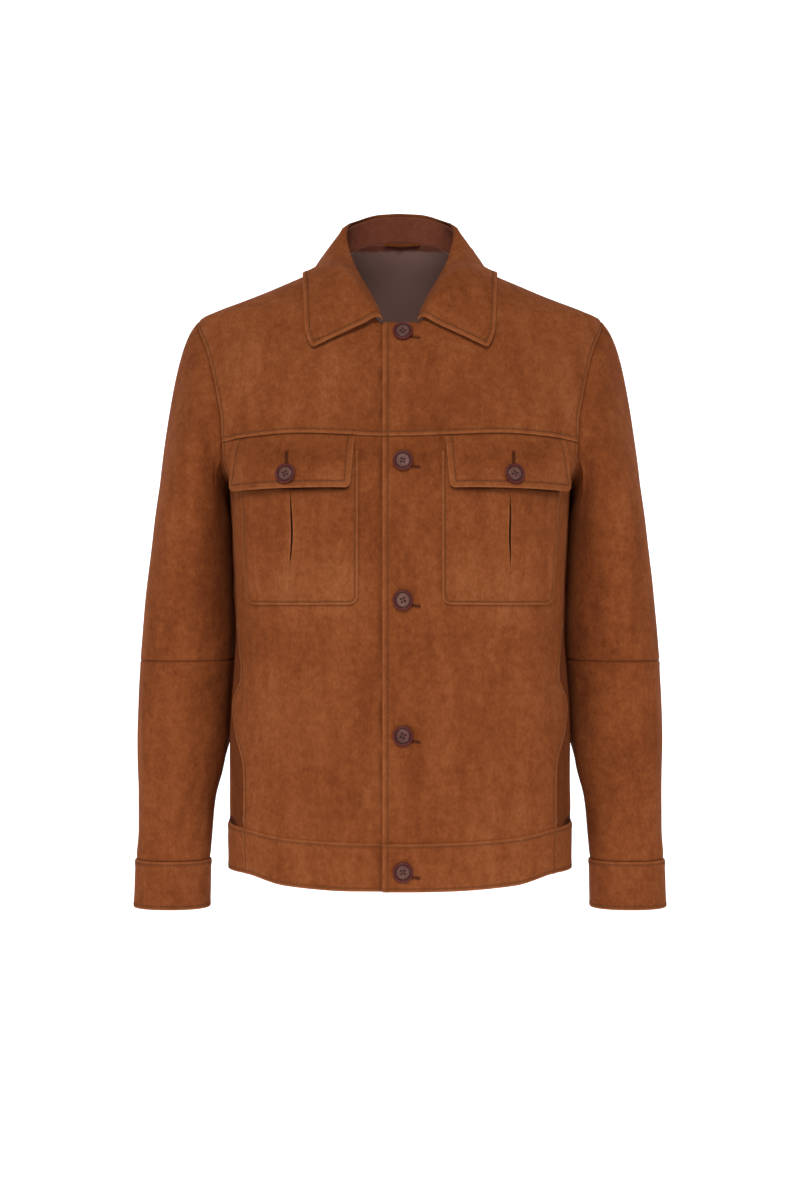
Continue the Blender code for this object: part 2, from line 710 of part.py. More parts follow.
def grid_normals(grid):
    """Normals of a free grid, from the neighbours of each point."""
    rows, columns = len(grid), len(grid[0])
    normals = []
    for r in range(rows):
        line = []
        for c in range(columns):
            across = grid[r][min(c + 1, columns - 1)] - grid[r][max(c - 1, 0)]
            up = grid[min(r + 1, rows - 1)][c] - grid[max(r - 1, 0)][c]
            line.append(across.cross(up).normalized())
        normals.append(line)
    return normals


# ---------------------------------------------------------------- collar

def body_clearance(point):
    """How far a point stands outside the body, and the way out from it."""
    def level(p):
        middle = body_curve["middle"](p.z)
        front = p.y < middle
        depth = (middle - body_curve["front"](p.z)) if front else (body_curve["back"](p.z) - middle)
        power = body_curve["squareness"](p.z)
        width = body_curve["half_width"](p.z)
        return ((abs(p.x) / width) ** power + (abs(p.y - middle) / depth) ** power) ** (1 / power)
    step = 0.5
    slope = Vector([(level(point + axis * step) - level(point - axis * step)) / (2 * step)
                    for axis in (Vector((1, 0, 0)), Vector((0, 1, 0)), Vector((0, 0, 1)))])
    return (level(point) - 1) / slope.length, slope.normalized()


def rest_on_body(point, clear):
    """Lift a point off the body until it has its clearance, with a soft start."""
    for _ in range(REST_PASSES):
        away, out = body_clearance(point)
        short = clear - away
        if short < -REST_REACH:
            break
        rise = math.log1p(math.exp(min(short / REST_SOFTNESS, REST_REACH)))
        point = point + out * REST_SOFTNESS * rise
        clear -= REST_EASE
    return point


def collar_stations(count, until=1.0):
    """The collar table read at even steps from the centre back towards the front end."""
    index = list(range(len(COLLAR)))
    curves = {name: smooth_curve(index, [getattr(row, name) for row in COLLAR])
              for name in COLLAR[0]._fields}

    def roll_at(s):
        return Vector([curves[name](s) for name in ("roll_x", "roll_y", "roll_z")])
    stations = []
    for s in np.linspace(0, index[-1] * until, count):
        at = {name: curve(s) for name, curve in curves.items()}
        angle = at["angle"]
        roll = roll_at(s)
        seam = body_point(angle, neck_z(angle))
        normal = body_normal(angle, neck_z(angle))
        along = roll_at(s + 0.3) - roll_at(max(s - 0.3, 0))
        rise = (roll - seam).normalized()
        out = rise.cross(along).normalized()
        edge = Vector((at["edge_x"], at["edge_y"], at["edge_z"]))
        stations.append(Station(angle, seam, normal, roll, rise, out, edge, at["sag"]))
    return stations


def stand_column(at):
    """From just above the neck seam to just under the roll, a little inside it."""
    low = at.seam - at.normal * WALL / 2 + at.rise * STAND_CLEAR
    high = at.roll - at.out * ROLL_HALF - at.rise * ROLL_HALF
    return [low.lerp(high, w) for w in np.linspace(0, 1, STAND_ROWS + 1)]


def fall_column(at):
    """Over the roll, past the neck seam and down to the leaf's edge, resting on the body."""
    over_seam = at.seam + at.normal * OVER_SEAM_OUT + Vector((0, 0, OVER_SEAM_UP))
    near_front = smooth_step(-OVER_SEAM_FROM, -OVER_SEAM_TO, -at.angle)
    over = at.roll.lerp(at.edge, OVER_SEAM).lerp(over_seam, near_front)
    crest = smooth_step(CREST_FROM, CREST_TO, at.angle)
    turned_in = at.rise * ROLL_RISE - at.out * ROLL_HALF
    cut_off = at.out * ROLL_HALF - Vector((0, 0, ROLL_END_DROP))
    column = [at.roll + cut_off.lerp(turned_in, crest)]
    for w in FALL_SHARES:
        if w <= OVER_SEAM:
            point = at.roll.lerp(over, w / OVER_SEAM) + at.out * ROLL_HALF
        else:
            t = (w - OVER_SEAM) / (1 - OVER_SEAM)
            point = over.lerp(at.edge, t) + at.out * ROLL_HALF * (1 - t)
        point.z += at.sag * math.sin(math.pi * w)
        if w < STAND_BEHIND:
            short = ROLL_HALF - (point - at.roll).dot(at.out)
            point = point + at.out * max(short, 0)
        if w >= OVER_SEAM:
            point = rest_on_body(point, COLLAR_CLEAR)
        column.append(point)
    return column


def both_halves(columns):
    """From the left end round the back to the right end, as rows that run up."""
    right = [[Vector((-p.x, p.y, p.z)) for p in column] for column in columns[1:]]
    around = columns[::-1] + right
    return [[column[w] for column in around] for w in range(len(columns[0]))]


def build_collar(suede, stand_suede):
    stand = both_halves([stand_column(at) for at in collar_stations(STATIONS, STAND_ENDS)])
    fall = both_halves([fall_column(at) for at in collar_stations(STATIONS)])[::-1]
    for name, rows, material in (("collar_stand", stand, stand_suede),
                                 ("collar_fall", fall, suede)):
        out, inn = even_wall(rows, COLLAR_WALL)
        points, faces = grid_wall(rows, out, inn, grid_normals(rows))
        make_object(name, points, faces, material)


# ---------------------------------------------------------------- pockets

def corner_rise(distance, radius):
    """How far a rounded corner lifts the lower edge at a distance from its side."""
    if distance >= radius:
        return 0.0
    return radius - math.sqrt(radius ** 2 - (radius - distance) ** 2)


def pocket_columns(width):
    """Places across the pocket from its inner side, close at the corners; None is the pleat."""
    pleat = (PLEAT_X - POCKET_INNER_X) / width
    near = POCKET_PLEAT_SIDE / width
    sides = [0.0, 0.02, 0.065, 0.2, 0.36, pleat - near, None, pleat + near]
    return sides + [0.74, 0.84, 0.90, 0.95, 0.98, 1.0]


def pleat_opening(z):
    """Half the gap between the pleat's folded edges."""
    share = (PLEAT_TOP_Z - z) / (PLEAT_TOP_Z - PLEAT_LOW_Z)
    if share <= 0 or share >= 1:
        return 0.0
    return PLEAT_HALF_GAP * math.sin(math.pi * share) ** 0.7


def on_front(x, z, side):
    """A point of a front, its normal and its lift at the overlap, on the +X half."""
    angle = front_angle(x, z)
    lift = side * LAP_STEP * (1 - smooth_step(LAP_FLAT_TO, LAP_FADES_BY, x))
    normal = body_normal(angle, z)
    return body_point(angle, z) + normal * lift, normal


def pleat_spots(gap):
    """Across the pleat: a raised lip, the two edges of the slit's floor, and the other lip."""
    lip = WALL + PLEAT_LIP * gap / PLEAT_HALF_GAP
    floor = PLEAT_FLOOR
    near = gap + PLEAT_SLOT
    return [(PLEAT_X - near - PLEAT_BANK, lip), (PLEAT_X - near, floor),
            (PLEAT_X + near, floor), (PLEAT_X + near + PLEAT_BANK, lip)]


def build_pocket(name, side, material):
    grid, out, inn, normals = [], [], [], []
    for z0 in reversed(POCKET_ROWS_Z):
        fall = (POCKET_TOP_Z - z0) / (POCKET_TOP_Z - POCKET_LOW_Z)
        outer = POCKET_OUTER_X_TOP + (POCKET_OUTER_X_LOW - POCKET_OUTER_X_TOP) * fall
        width = outer - POCKET_INNER_X
        spots = []
        for share in pocket_columns(width):
            if share is None:
                spots += pleat_spots(pleat_opening(z0))
            else:
                spots.append((POCKET_INNER_X + share * width, WALL))
        line, line_out, line_in, line_normal = [], [], [], []
        for x, thick in spots:
            edge = min(x - POCKET_INNER_X, outer - x)
            z = z0 + corner_rise(edge, POCKET_CORNER) * smooth_step(0.75, 1.0, fall)
            point, normal = on_front(x, z, side)
            height = POCKET_LIFT + pocket_puff(min(edge, z - POCKET_LOW_Z))
            line.append(point)
            line_normal.append(normal)
            line_in.append(height)
            line_out.append(height + thick)
        grid.append(line)
        out.append(line_out)
        inn.append(line_in)
        normals.append(line_normal)
    points, faces = grid_wall(grid, out, inn, normals)
    make_object(name, points, faces, material, mirrored=side < 0)


def pocket_puff(edge):
    """How far a pocket swells at a distance from its nearest stitched edge."""
    return POCKET_PUFF * smooth_step(0, 1, edge / POCKET_PUFF_WITHIN)


def flap_height(x, z):
    """How far the flap's inner face stands off the front, over the pocket beneath it."""
    step = smooth_step(0, FLAP_STEP_LENGTH, FLAP_BEND_Z - z)
    share = min(max((FLAP_BEND_Z - z) / (FLAP_BEND_Z - FLAP_LOW_Z), 0), 1)
    across = min(max((x - FLAP_INNER_X_LOW) / (FLAP_OUTER_X_LOW - FLAP_INNER_X_LOW), 0), 1)
    edge = max(min(x - POCKET_INNER_X, POCKET_OUTER_X_TOP - x), 0)
    over = WALL + FLAP_OVER_POCKET + pocket_puff(edge)
    return POCKET_LIFT + over * step + FLAP_BOW * share ** 2 * math.sin(math.pi * across) ** 0.5


def build_flap(name, side, material):
    columns = [0.0, 0.015, 0.05, 0.17, 0.3, 0.43, 0.56, 0.69, 0.82, 0.95, 0.985, 1.0]
    rows = [0.0, 0.1, 0.22, 0.45, 0.7, 0.88, 1.0]
    grid, out, inn, normals = [], [], [], []
    for down in reversed(rows):
        inner = FLAP_INNER_X_TOP + (FLAP_INNER_X_LOW - FLAP_INNER_X_TOP) * down
        outer = FLAP_OUTER_X_TOP + (FLAP_OUTER_X_LOW - FLAP_OUTER_X_TOP) * down
        line, line_out, line_in, line_normal = [], [], [], []
        for share in columns:
            x = inner + (outer - inner) * share
            top = yoke_z(front_angle(x, -198)) - FLAP_TOP_DROP
            edge = min(x - inner, outer - x)
            low = FLAP_LOW_Z + corner_rise(edge, FLAP_CORNER)
            z = top + (low - top) * down
            point, normal = on_front(x, z, side)
            height = flap_height(x, z)
            line.append(point)
            line_normal.append(normal)
            line_in.append(height)
            line_out.append(height + WALL)
        grid.append(line)
        out.append(line_out)
        inn.append(line_in)
        normals.append(line_normal)
    points, faces = grid_wall(grid, out, inn, normals)
    make_object(name, points, faces, material, mirrored=side < 0)


# ---------------------------------------------------------------- buttons and loop

def turned_button_mesh(material):
    """One button about its own Z axis, its four holes cut by a Boolean."""
    shape = bmesh.new()
    outline = [shape.verts.new((r * MM, 0, h * MM)) for r, h in BUTTON_PROFILE]
    edges = [shape.edges.new(pair) for pair in zip(outline, outline[1:])]
    bmesh.ops.spin(shape, geom=outline + edges, cent=(0, 0, 0), axis=(0, 0, 1),
                   angle=math.tau, steps=BUTTON_SIDES, use_merge=False)
    bmesh.ops.remove_doubles(shape, verts=shape.verts, dist=0.00001)
    bmesh.ops.recalc_face_normals(shape, faces=shape.faces)
    disc = bpy.data.meshes.new("button_disc")
    shape.to_mesh(disc)
    shape.free()
    drills = bmesh.new()
    for x, y in ((1, 1), (-1, 1), (-1, -1), (1, -1)):
        place = Matrix.Translation(Vector((x * HOLE_OFFSET, y * HOLE_OFFSET, DRILL_MIDDLE)) * MM)
        bmesh.ops.create_cone(drills, cap_ends=True, segments=HOLE_SIDES,
                              radius1=HOLE_RADIUS * MM, radius2=HOLE_RADIUS * MM,
                              depth=DRILL_LENGTH * MM, matrix=place)
    drill_mesh = bpy.data.meshes.new("button_drills")
    drills.to_mesh(drill_mesh)
    drills.free()
    blank = bpy.data.objects.new("button_blank", disc)
    cutter = bpy.data.objects.new("button_cutter", drill_mesh)
    cutter.hide_render = True
    cutter.display_type = "WIRE"
    for item in (blank, cutter):
        bpy.context.scene.collection.objects.link(item)
    cut = blank.modifiers.new("holes", "BOOLEAN")
    cut.operation = "DIFFERENCE"
    cut.solver = "EXACT"
    cut.object = cutter
    bpy.context.view_layer.update()
    seen = blank.evaluated_get(bpy.context.evaluated_depsgraph_get())
    mesh = bpy.data.meshes.new_from_object(seen)
    mesh.name = "button"
    mesh.materials.clear()
    mesh.materials.append(material)
    mesh.shade_smooth()
    mesh.set_sharp_from_angle(angle=math.radians(SHARP_EDGE))
    for item in (blank, cutter):
        bpy.data.objects.remove(item, do_unlink=True)
    return mesh


def place_button(name, mesh, point, normal, lift, mirrored=False):
    """A button set on the cloth, its face along the cloth's normal."""
    place = point + normal * (lift + BUTTON_LIFT)
    if mirrored:
        place = Vector((-place.x, place.y, place.z))
        normal = Vector((-normal.x, normal.y, normal.z))
    item = bpy.data.objects.new(name, mesh)
    bpy.context.scene.collection.objects.link(item)
    up = Vector((0, 0, 1))
    right = up.cross(normal).normalized()
    turn = Matrix((right, normal.cross(right), normal)).transposed().to_4x4()
    item.matrix_world = Matrix.Translation(place * MM) @ turn
    return item


def build_buttons(horn):
    mesh = turned_button_mesh(horn)
    for number, z in enumerate(FRONT_BUTTON_Z, 1):
        angle = front_angle(BUTTON_X, z)
        on_band = z < BAND_SEAM[0].z
        lift = BAND_LAP_STEP + BAND_PROUD if on_band else LAP_STEP
        place_button(f"button_front_{number}", mesh, body_point(angle, z),
                     body_normal(angle, z), lift)
    for name, side in (("button_pocket_left", 1), ("button_pocket_right", -1)):
        point, normal = on_front(FLAP_BUTTON_X, FLAP_BUTTON_Z, side)
        lift = flap_height(FLAP_BUTTON_X, FLAP_BUTTON_Z) + WALL
        place_button(name, mesh, point, normal, lift, mirrored=side < 0)


def build_loop(material):
    """The strip that lies across the inner back neck."""
    grid, normals = [], []
    half_angle = math.degrees(LOOP_LENGTH / 2 / body_curve["back"](LOOP_Z))
    for z in (LOOP_Z, LOOP_Z + LOOP_HEIGHT / 2, LOOP_Z + LOOP_HEIGHT):
        angles = np.linspace(180 - half_angle, 180 + half_angle, 9)
        normal_row = [body_normal(angle, z) for angle in angles]
        grid.append([body_point(angle, z) - normal * LOOP_INSIDE
                     for angle, normal in zip(angles, normal_row)])
        normals.append(normal_row)
    out, inn = even_wall(grid, LOOP_WALL)
    points, faces = grid_wall(grid, out, inn, normals)
    make_object("hanger_loop", points, faces, material)


# ---------------------------------------------------------------- the whole jacket

def build_jacket():
    clear_scene()
    suede = make_material("tan_suede", SUEDE, 0.92)
    cuff_suede = make_material("cuff_suede", SUEDE_CUFF, 0.92)
    stand_suede = make_material("stand_suede", STAND_SUEDE, 0.9)
    lining = make_material("brown_lining", LINING, 0.45)
    horn = make_material("brown_horn", HORN, 0.3)

    net = sew_body_and_sleeves()
    half_gap = SEAM_GAP / 2
    for side, name in ((1, "left"), (-1, "right")):
        for piece in ("front_", "yoke_"):
            points, faces = net.piece_wall(piece + name, 0, -WALL, half_gap,
                                           lap_lift(LAP_STEP, side))
            make_object(piece + name, points, faces, suede)
        points, faces = net.piece_wall("waistband_" + name, BAND_PROUD, BAND_PROUD - BAND_WALL,
                                       half_gap, lap_lift(BAND_LAP_STEP, side))
        make_object("waistband_" + name, points, faces, suede)
        for piece in ("sleeve_upper_", "sleeve_lower_"):
            points, faces = net.piece_wall(piece + name, 0, -WALL, half_gap)
            make_object(piece + name, points, faces, suede)
        points, faces = net.piece_wall("cuff_" + name, BAND_PROUD, BAND_PROUD - CUFF_WALL, half_gap)
        make_object("cuff_" + name, points, faces, cuff_suede)
        build_pocket("pocket_" + name, side, suede)
        build_flap("flap_" + name, side, suede)
    points, faces = net.piece_wall("back", 0, -WALL, half_gap)
    make_object("back", points, faces, suede)
    points, faces = net.piece_wall("waistband_back", BAND_PROUD, BAND_PROUD - BAND_WALL, half_gap)
    make_object("waistband_back", points, faces, suede)

    # the lining follows the back from the neck to the underarm line
    back_faces = [(name, face) for name, face in net.faces if name == "back"]
    for name, face in back_faces:
        if all(net.points[i].z > UNDERARM_Z - 0.01 for i in face):
            net.faces.append(("lining_back", face))
    hang = -WALL - LINING_GAP
    points, faces = net.piece_wall("lining_back", hang, hang - LINING_WALL, LINING_INSET)
    make_object("lining_back", points, faces, lining)

    build_collar(suede, stand_suede)
    build_loop(suede)
    build_buttons(horn)


build_jacket()
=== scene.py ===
import math
from collections import defaultdict, namedtuple

import bmesh
import bpy
import numpy as np
from mathutils import Matrix, Vector
from mathutils.bvhtree import BVHTree


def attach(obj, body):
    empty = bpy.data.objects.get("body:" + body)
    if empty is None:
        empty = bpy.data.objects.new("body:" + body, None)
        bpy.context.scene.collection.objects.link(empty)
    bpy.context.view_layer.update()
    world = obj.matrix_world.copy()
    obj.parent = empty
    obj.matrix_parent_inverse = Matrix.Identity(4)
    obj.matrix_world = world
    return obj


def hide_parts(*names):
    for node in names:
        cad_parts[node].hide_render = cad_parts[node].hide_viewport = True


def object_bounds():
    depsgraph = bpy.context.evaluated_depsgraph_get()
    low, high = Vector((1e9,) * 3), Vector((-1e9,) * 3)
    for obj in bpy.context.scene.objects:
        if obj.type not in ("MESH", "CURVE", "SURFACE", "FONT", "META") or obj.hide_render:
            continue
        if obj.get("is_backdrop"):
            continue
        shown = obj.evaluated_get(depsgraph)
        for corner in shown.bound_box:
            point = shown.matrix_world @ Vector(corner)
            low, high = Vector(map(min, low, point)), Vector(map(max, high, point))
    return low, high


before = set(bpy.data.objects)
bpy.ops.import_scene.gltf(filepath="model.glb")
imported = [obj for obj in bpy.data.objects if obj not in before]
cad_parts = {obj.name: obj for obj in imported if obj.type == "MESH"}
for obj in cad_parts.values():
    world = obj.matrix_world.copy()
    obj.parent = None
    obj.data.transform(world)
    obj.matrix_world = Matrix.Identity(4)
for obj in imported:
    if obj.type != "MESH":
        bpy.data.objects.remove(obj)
cad_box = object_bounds()
MM = 0.001


def add_object(name, data):
    """A new object in the scene, at the origin."""
    item = bpy.data.objects.new(name, data)
    bpy.context.scene.collection.objects.link(item)
    return item


print("nodes in the frame:", len(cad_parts), "box", [tuple(round(v, 3) for v in p) for p in cad_box])

# %% [markdown]
# ## Camera, studio and light
# The photograph looks straight at the jacket from its middle height, with a long lens. One
# picture pixel is 1.09 mm at the jacket's middle depth, which fixes the lens for a camera 2.2 m
# away. The studio is one pale sheet that curves up from floor to wall, so no horizon shows.
# The photograph is lit evenly from top to hem, which only a light from far away does. So the key
# is one soft box as far off as a sun, a little above the camera, with weak boxes at the sides.
# %% Set up the camera
CAMERA_Z = -366.0
CAMERA_BACK = 2200.0
PICTURE_ROWS = 1200
PIXEL = 1.09
SENSOR = 36.0

camera_data = bpy.data.cameras.new("studio_camera")
camera_data.sensor_fit = "VERTICAL"
camera_data.sensor_height = SENSOR
camera_data.lens = SENSOR * CAMERA_BACK / (PICTURE_ROWS * PIXEL)
camera = add_object("studio_camera", camera_data)
camera.location = (0, -CAMERA_BACK * MM, CAMERA_Z * MM)
camera.rotation_euler = (math.radians(90), 0, 0)
bpy.context.scene.camera = camera
print("lens", round(camera_data.lens, 2), "mm")

# %% Set up the light
KEY_STRENGTH = 1.75
KEY_SOFTNESS = 22.0
KEY_TURN = (55.0, 0.0, -5.0)
WORLD_STRENGTH = 0.28
LightRow = namedtuple("LightRow", "name x y z aim_z wide high watts")
FILL_LIGHTS = [
    LightRow("left_box", -2.4, -1.7, 0.1, -0.35, 1.0, 1.8, 3),
    LightRow("right_box", 2.4, -1.7, 0.1, -0.35, 1.0, 1.8, 3),
]


def add_light(row):
    """A soft box that faces the jacket."""
    data = bpy.data.lights.new(row.name, "AREA")
    data.shape = "RECTANGLE"
    data.size = row.wide
    data.size_y = row.high
    data.energy = row.watts
    light = add_object(row.name, data)
    light.location = (row.x, row.y, row.z)
    aim = Vector((0, 0, row.aim_z)) - light.location
    light.rotation_euler = aim.to_track_quat("-Z", "Y").to_euler()


key_data = bpy.data.lights.new("far_soft_box", "SUN")
key_data.energy = KEY_STRENGTH
key_data.angle = math.radians(KEY_SOFTNESS)
key = add_object("far_soft_box", key_data)
key.rotation_euler = [math.radians(turn) for turn in KEY_TURN]
for row in FILL_LIGHTS:
    add_light(row)
world = bpy.data.worlds.new("studio_air")
world.use_nodes = True
world.node_tree.nodes["Background"].inputs["Color"].default_value = (1, 1, 1, 1)
world.node_tree.nodes["Background"].inputs["Strength"].default_value = WORLD_STRENGTH
bpy.context.scene.world = world
bpy.context.scene.view_settings.view_transform = "Standard"
print("lights:", key.name, [row.name for row in FILL_LIGHTS])

# %% [markdown]
# ## Finishes as sums
# Suede has no pattern. What the eye reads is the nap: a pile that lies in different directions,
# so that broad clouds, long brushed streaks and small mottles are a little paler or darker. All
# of it is noise at several sizes, added up. Writing such sums with nodes by hand is slow to read,
# so one small class lets a socket take part in ordinary Python sums, and one method makes nodes.
# The same two serve the geometry nodes that lay the stitches later.
# %% Small classes for work with nodes


class Worth:
    """A node's output that takes part in sums: each sum adds a Math node."""

    def __init__(self, graph, socket):
        self.graph = graph
        self.socket = socket

    def math(self, operation, first, second):
        return self.graph.node("ShaderNodeMath", {"operation": operation}, {0: first, 1: second})[0]

    def __add__(self, other):
        return self.math("ADD", self, other)

    def __sub__(self, other):
        return self.math("SUBTRACT", self, other)

    def __mul__(self, other):
        return self.math("MULTIPLY", self, other)

    def __pow__(self, other):
        return self.math("POWER", self, other)

    def __rsub__(self, other):
        return self.math("SUBTRACT", other, self)

    __radd__ = __add__
    __rmul__ = __mul__


class Graph:
    """A tree of nodes, for a finish or for geometry."""

    def __init__(self, tree):
        self.tree = tree

    def node(self, kind, settings=None, sockets=None):
        """Add a node: its settings first, then the values or links of its sockets."""
        node = self.tree.nodes.new(kind)
        for name, value in (settings or {}).items():
            if name == "stops":
                self.set_stops(node.color_ramp, value)
            else:
                setattr(node, name, value)
        for name, value in (sockets or {}).items():
            self.join(value, node.inputs[name])
        return [Worth(self, socket) for socket in node.outputs if socket.enabled]

    def join(self, value, socket):
        """Link a node's output to a socket, or set the socket to a plain value."""
        if isinstance(value, Worth):
            self.tree.links.new(value.socket, socket)
        else:
            socket.default_value = value

    def set_stops(self, ramp, stops):
        while len(ramp.elements) < len(stops):
            ramp.elements.new(0.5)
        for element, (place, colour) in zip(ramp.elements, stops):
            element.position = place
            element.color = (*colour, 1)


class Finish(Graph):
    """A material and the nodes that are added to it."""

    def __init__(self, name):
        self.material = bpy.data.materials.new(name)
        self.material.use_nodes = True
        super().__init__(self.material.node_tree)
        self.shader = self.tree.nodes["Principled BSDF"]

    def noise(self, scale, detail=2.0, roughness=0.5, stretch=(1, 1, 1), turn=(0, 0, 0)):
        """Cloudy noise on the object's own coordinates, from 0 to 1."""
        place = self.node("ShaderNodeTexCoord")[3]
        place = self.node("ShaderNodeMapping", None,
                          {"Vector": place, "Scale": stretch, "Rotation": turn})[0]
        return self.node("ShaderNodeTexNoise", None,
                         {"Vector": place, "Scale": scale, "Detail": detail, "Roughness": roughness})[0]

    def attribute(self, name):
        return self.node("ShaderNodeAttribute", {"attribute_name": name})[2]

    def between(self, share, low, high):
        """A colour mixed between two."""
        mixed = self.node("ShaderNodeMix", {"data_type": "RGBA", "clamp_factor": True},
                          {0: share, 6: low, 7: high})
        return mixed[-1]

    def ramp(self, share, stops):
        return self.node("ShaderNodeValToRGB", {"stops": stops}, {0: share})[0]

    def bump(self, height, depth, strength=1.0, under=None):
        sockets = {"Height": height, "Distance": depth, "Strength": strength}
        if under is not None:
            sockets["Normal"] = under
        return self.node("ShaderNodeBump", None, sockets)[0]

    def feed(self, **links):
        for name, value in links.items():
            self.join(value, self.shader.inputs[name.replace("_", " ")])


print("Worth, Graph and Finish are ready")

# %% [markdown]
# ## The suede
# Four shades come straight from the photograph: the middle tan, the darker nap brushed the other
# way, the paler nap where hands and edges have lifted the pile, and the nearly black that is
# painted shade in slits and hollows. Three attributes that the cloth carries say where an edge is
# (`edge`), where a stitch line has pressed the pile down and where shade is painted in
# (`groove`), and where the nap was brushed up or down, with some painted shade
# too (`nap`). A little sheen gives the pale rim that suede has where it turns away.
# %% Make the suede finishes


def rgba(colour):
    return (*colour, 1)


def make_suede(name, middle, dark, pale, sheen=0.4):
    finish = Finish(name)
    clouds = finish.noise(13, 2)
    streaks = finish.noise(46, 4, 0.6, stretch=(1, 1, 0.22), turn=(0, 0.1, 0))
    mottles = finish.noise(110, 4, 0.62)
    flecks = finish.noise(420, 3, 0.6, stretch=(1, 1, 0.6))
    fibres = finish.noise(1600, 2, 0.6)
    nap = finish.attribute("nap")
    # The nap mark is the brushed nap, and painted shade beside the back's side seams.
    shade = (0.5 + (clouds - 0.5) * 0.34 + (streaks - 0.5) * 0.62 + (mottles - 0.5) * 0.62
             + (flecks - 0.5) * 0.62 + (fibres - 0.5) * 0.3 + nap * 0.5)
    colour = finish.ramp(shade, [(0.12, dark), (0.5, middle), (0.88, pale)])
    edge = finish.attribute("edge")
    groove = finish.attribute("groove")
    light_edge = tuple(min(p * 1.2, 1) for p in pale)
    colour = finish.between(edge * (0.3 + mottles * 0.55), colour, rgba(light_edge))
    # This mark darkens pressed stitch lines, and it is painted shade in seam valleys, under sunk edges, in
    # the pleat slits and hollows, under the flaps and on the collar's roll; above 0.82 it paints nearly
    # black shade.
    colour = finish.between(groove * 0.62, colour, rgba(tuple(d * 0.62 for d in dark)))
    colour = finish.between((groove - 0.82) * 2.4, colour, rgba(tuple(d * 0.1 for d in dark)))
    relief = fibres * 0.5 + flecks * 0.4 + mottles * 0.25
    finish.feed(Base_Color=colour, Roughness=0.95 - edge * 0.08,
                Normal=finish.bump(relief, 0.0011, 0.6))
    finish.feed(Sheen_Weight=sheen, Sheen_Roughness=0.4, Sheen_Tint=rgba(middle),
                Specular_IOR_Level=0.12)
    return finish.material


SUEDE = make_suede("tan_suede", (0.231, 0.061, 0.016), (0.138, 0.031, 0.0072), (0.320, 0.104, 0.036))
CUFF_SUEDE = make_suede("cuff_suede", (0.212, 0.055, 0.0145), (0.128, 0.029, 0.007), (0.292, 0.093, 0.032))
STAND_SUEDE = make_suede("stand_suede", (0.152, 0.042, 0.022), (0.104, 0.027, 0.013),
                         (0.195, 0.060, 0.034), 0.1)
print("suede finishes:", SUEDE.name, CUFF_SUEDE.name, STAND_SUEDE.name)

# %% [markdown]
# ## Lining, horn and thread
# The lining is a smooth brown-grey twill with a soft gloss, so its fine diagonal weave is a wave
# pattern in the bump and its colour hardly changes. An attribute, `facing`, says where it is faced
# with the stand's leather. The buttons look like polished horn: purple brown, clouded along one
# direction, with a clear gloss coat. Thread is the suede's own brown.
# %% Make the lining, horn and thread finishes
TWILL_SCALE, TWILL_TURN = 520.0, 0.78


def make_lining(name, colour, pale, facing):
    finish = Finish(name)
    place = finish.node("ShaderNodeTexCoord")[3]
    turned = finish.node("ShaderNodeMapping", None,
                         {"Vector": place, "Rotation": (0, TWILL_TURN, 0)})[0]
    twill = finish.node("ShaderNodeTexWave", {"bands_direction": "X"},
                        {"Vector": turned, "Scale": TWILL_SCALE, "Distortion": 0.4})[1]
    clouds = finish.noise(14, 2)
    cloth = finish.between(0.25 + (clouds - 0.5) * 1.1, rgba(colour), rgba(pale))
    finish.feed(Base_Color=finish.between(finish.attribute("facing"), cloth, rgba(facing)),
                Roughness=0.42 + clouds * 0.16, Normal=finish.bump(twill, 0.0004, 0.35))
    finish.feed(Sheen_Weight=0.12, Sheen_Roughness=0.35, Specular_IOR_Level=0.25)
    return finish.material


def make_horn(name):
    finish = Finish(name)
    streaks = finish.noise(90, 4, 0.6, stretch=(1, 1, 0.35), turn=(0, 0.5, 0.3))
    specks = finish.noise(600, 3)
    rim = finish.attribute("rim")
    colour = finish.ramp(streaks * 0.75 + specks * 0.25,
                         [(0.3, (0.078, 0.028, 0.022)), (0.52, (0.138, 0.060, 0.047)),
                          (0.74, (0.215, 0.115, 0.094))])
    colour = finish.between(rim * 0.94, colour, (0.098, 0.018, 0.016, 1))
    # Painted shade in the ring groove round the button's face.
    colour = finish.between(finish.attribute("groove") * 0.85, colour, (0.016, 0.006, 0.006, 1))
    finish.feed(Base_Color=colour, Roughness=0.34 + specks * 0.14,
                Normal=finish.bump(specks, 0.0002, 0.2))
    finish.feed(Coat_Weight=0.07, Coat_Roughness=0.12, Specular_IOR_Level=0.1)
    return finish.material


def make_thread(name, colour):
    finish = Finish(name)
    twist = finish.noise(1400, 2)
    dark = tuple(c * 0.6 for c in colour)
    finish.feed(Base_Color=finish.between(twist, rgba(dark), rgba(colour)), Roughness=0.7,
                Normal=finish.bump(twist, 0.0002, 0.4))
    finish.feed(Specular_IOR_Level=0.0)
    return finish.material


LINING = make_lining("brown_lining", (0.190, 0.100, 0.082), (0.268, 0.155, 0.130),
                     (0.152, 0.042, 0.022))
HORN = make_horn("brown_horn")
THREAD = make_thread("tan_thread", (0.400, 0.170, 0.075))
HOLE_THREAD = make_thread("hole_thread", (0.080, 0.027, 0.021))
BUTTON_THREAD = make_thread("button_thread", (0.170, 0.088, 0.074))
# Painted shade: a nearly black finish for the stitch holes, the buttonhole slits and the sheet under the
# button holes.
PAINTED_SHADE_FINISH = make_thread("dark_thread", (0.052, 0.017, 0.008))
print("other finishes:", LINING.name, HORN.name, THREAD.name, HOLE_THREAD.name,
      BUTTON_THREAD.name, PAINTED_SHADE_FINISH.name)

# %% [markdown]
# ## The curves that the jacket is drawn with
# A tailor's block is a few measured levels with a fair curve through them. The same is done here:
# short tables of sections, and a curve through their rows that never overshoots. It is the curve
# that the solids use, so the cloth lies exactly on them.
# %% Curves through short tables


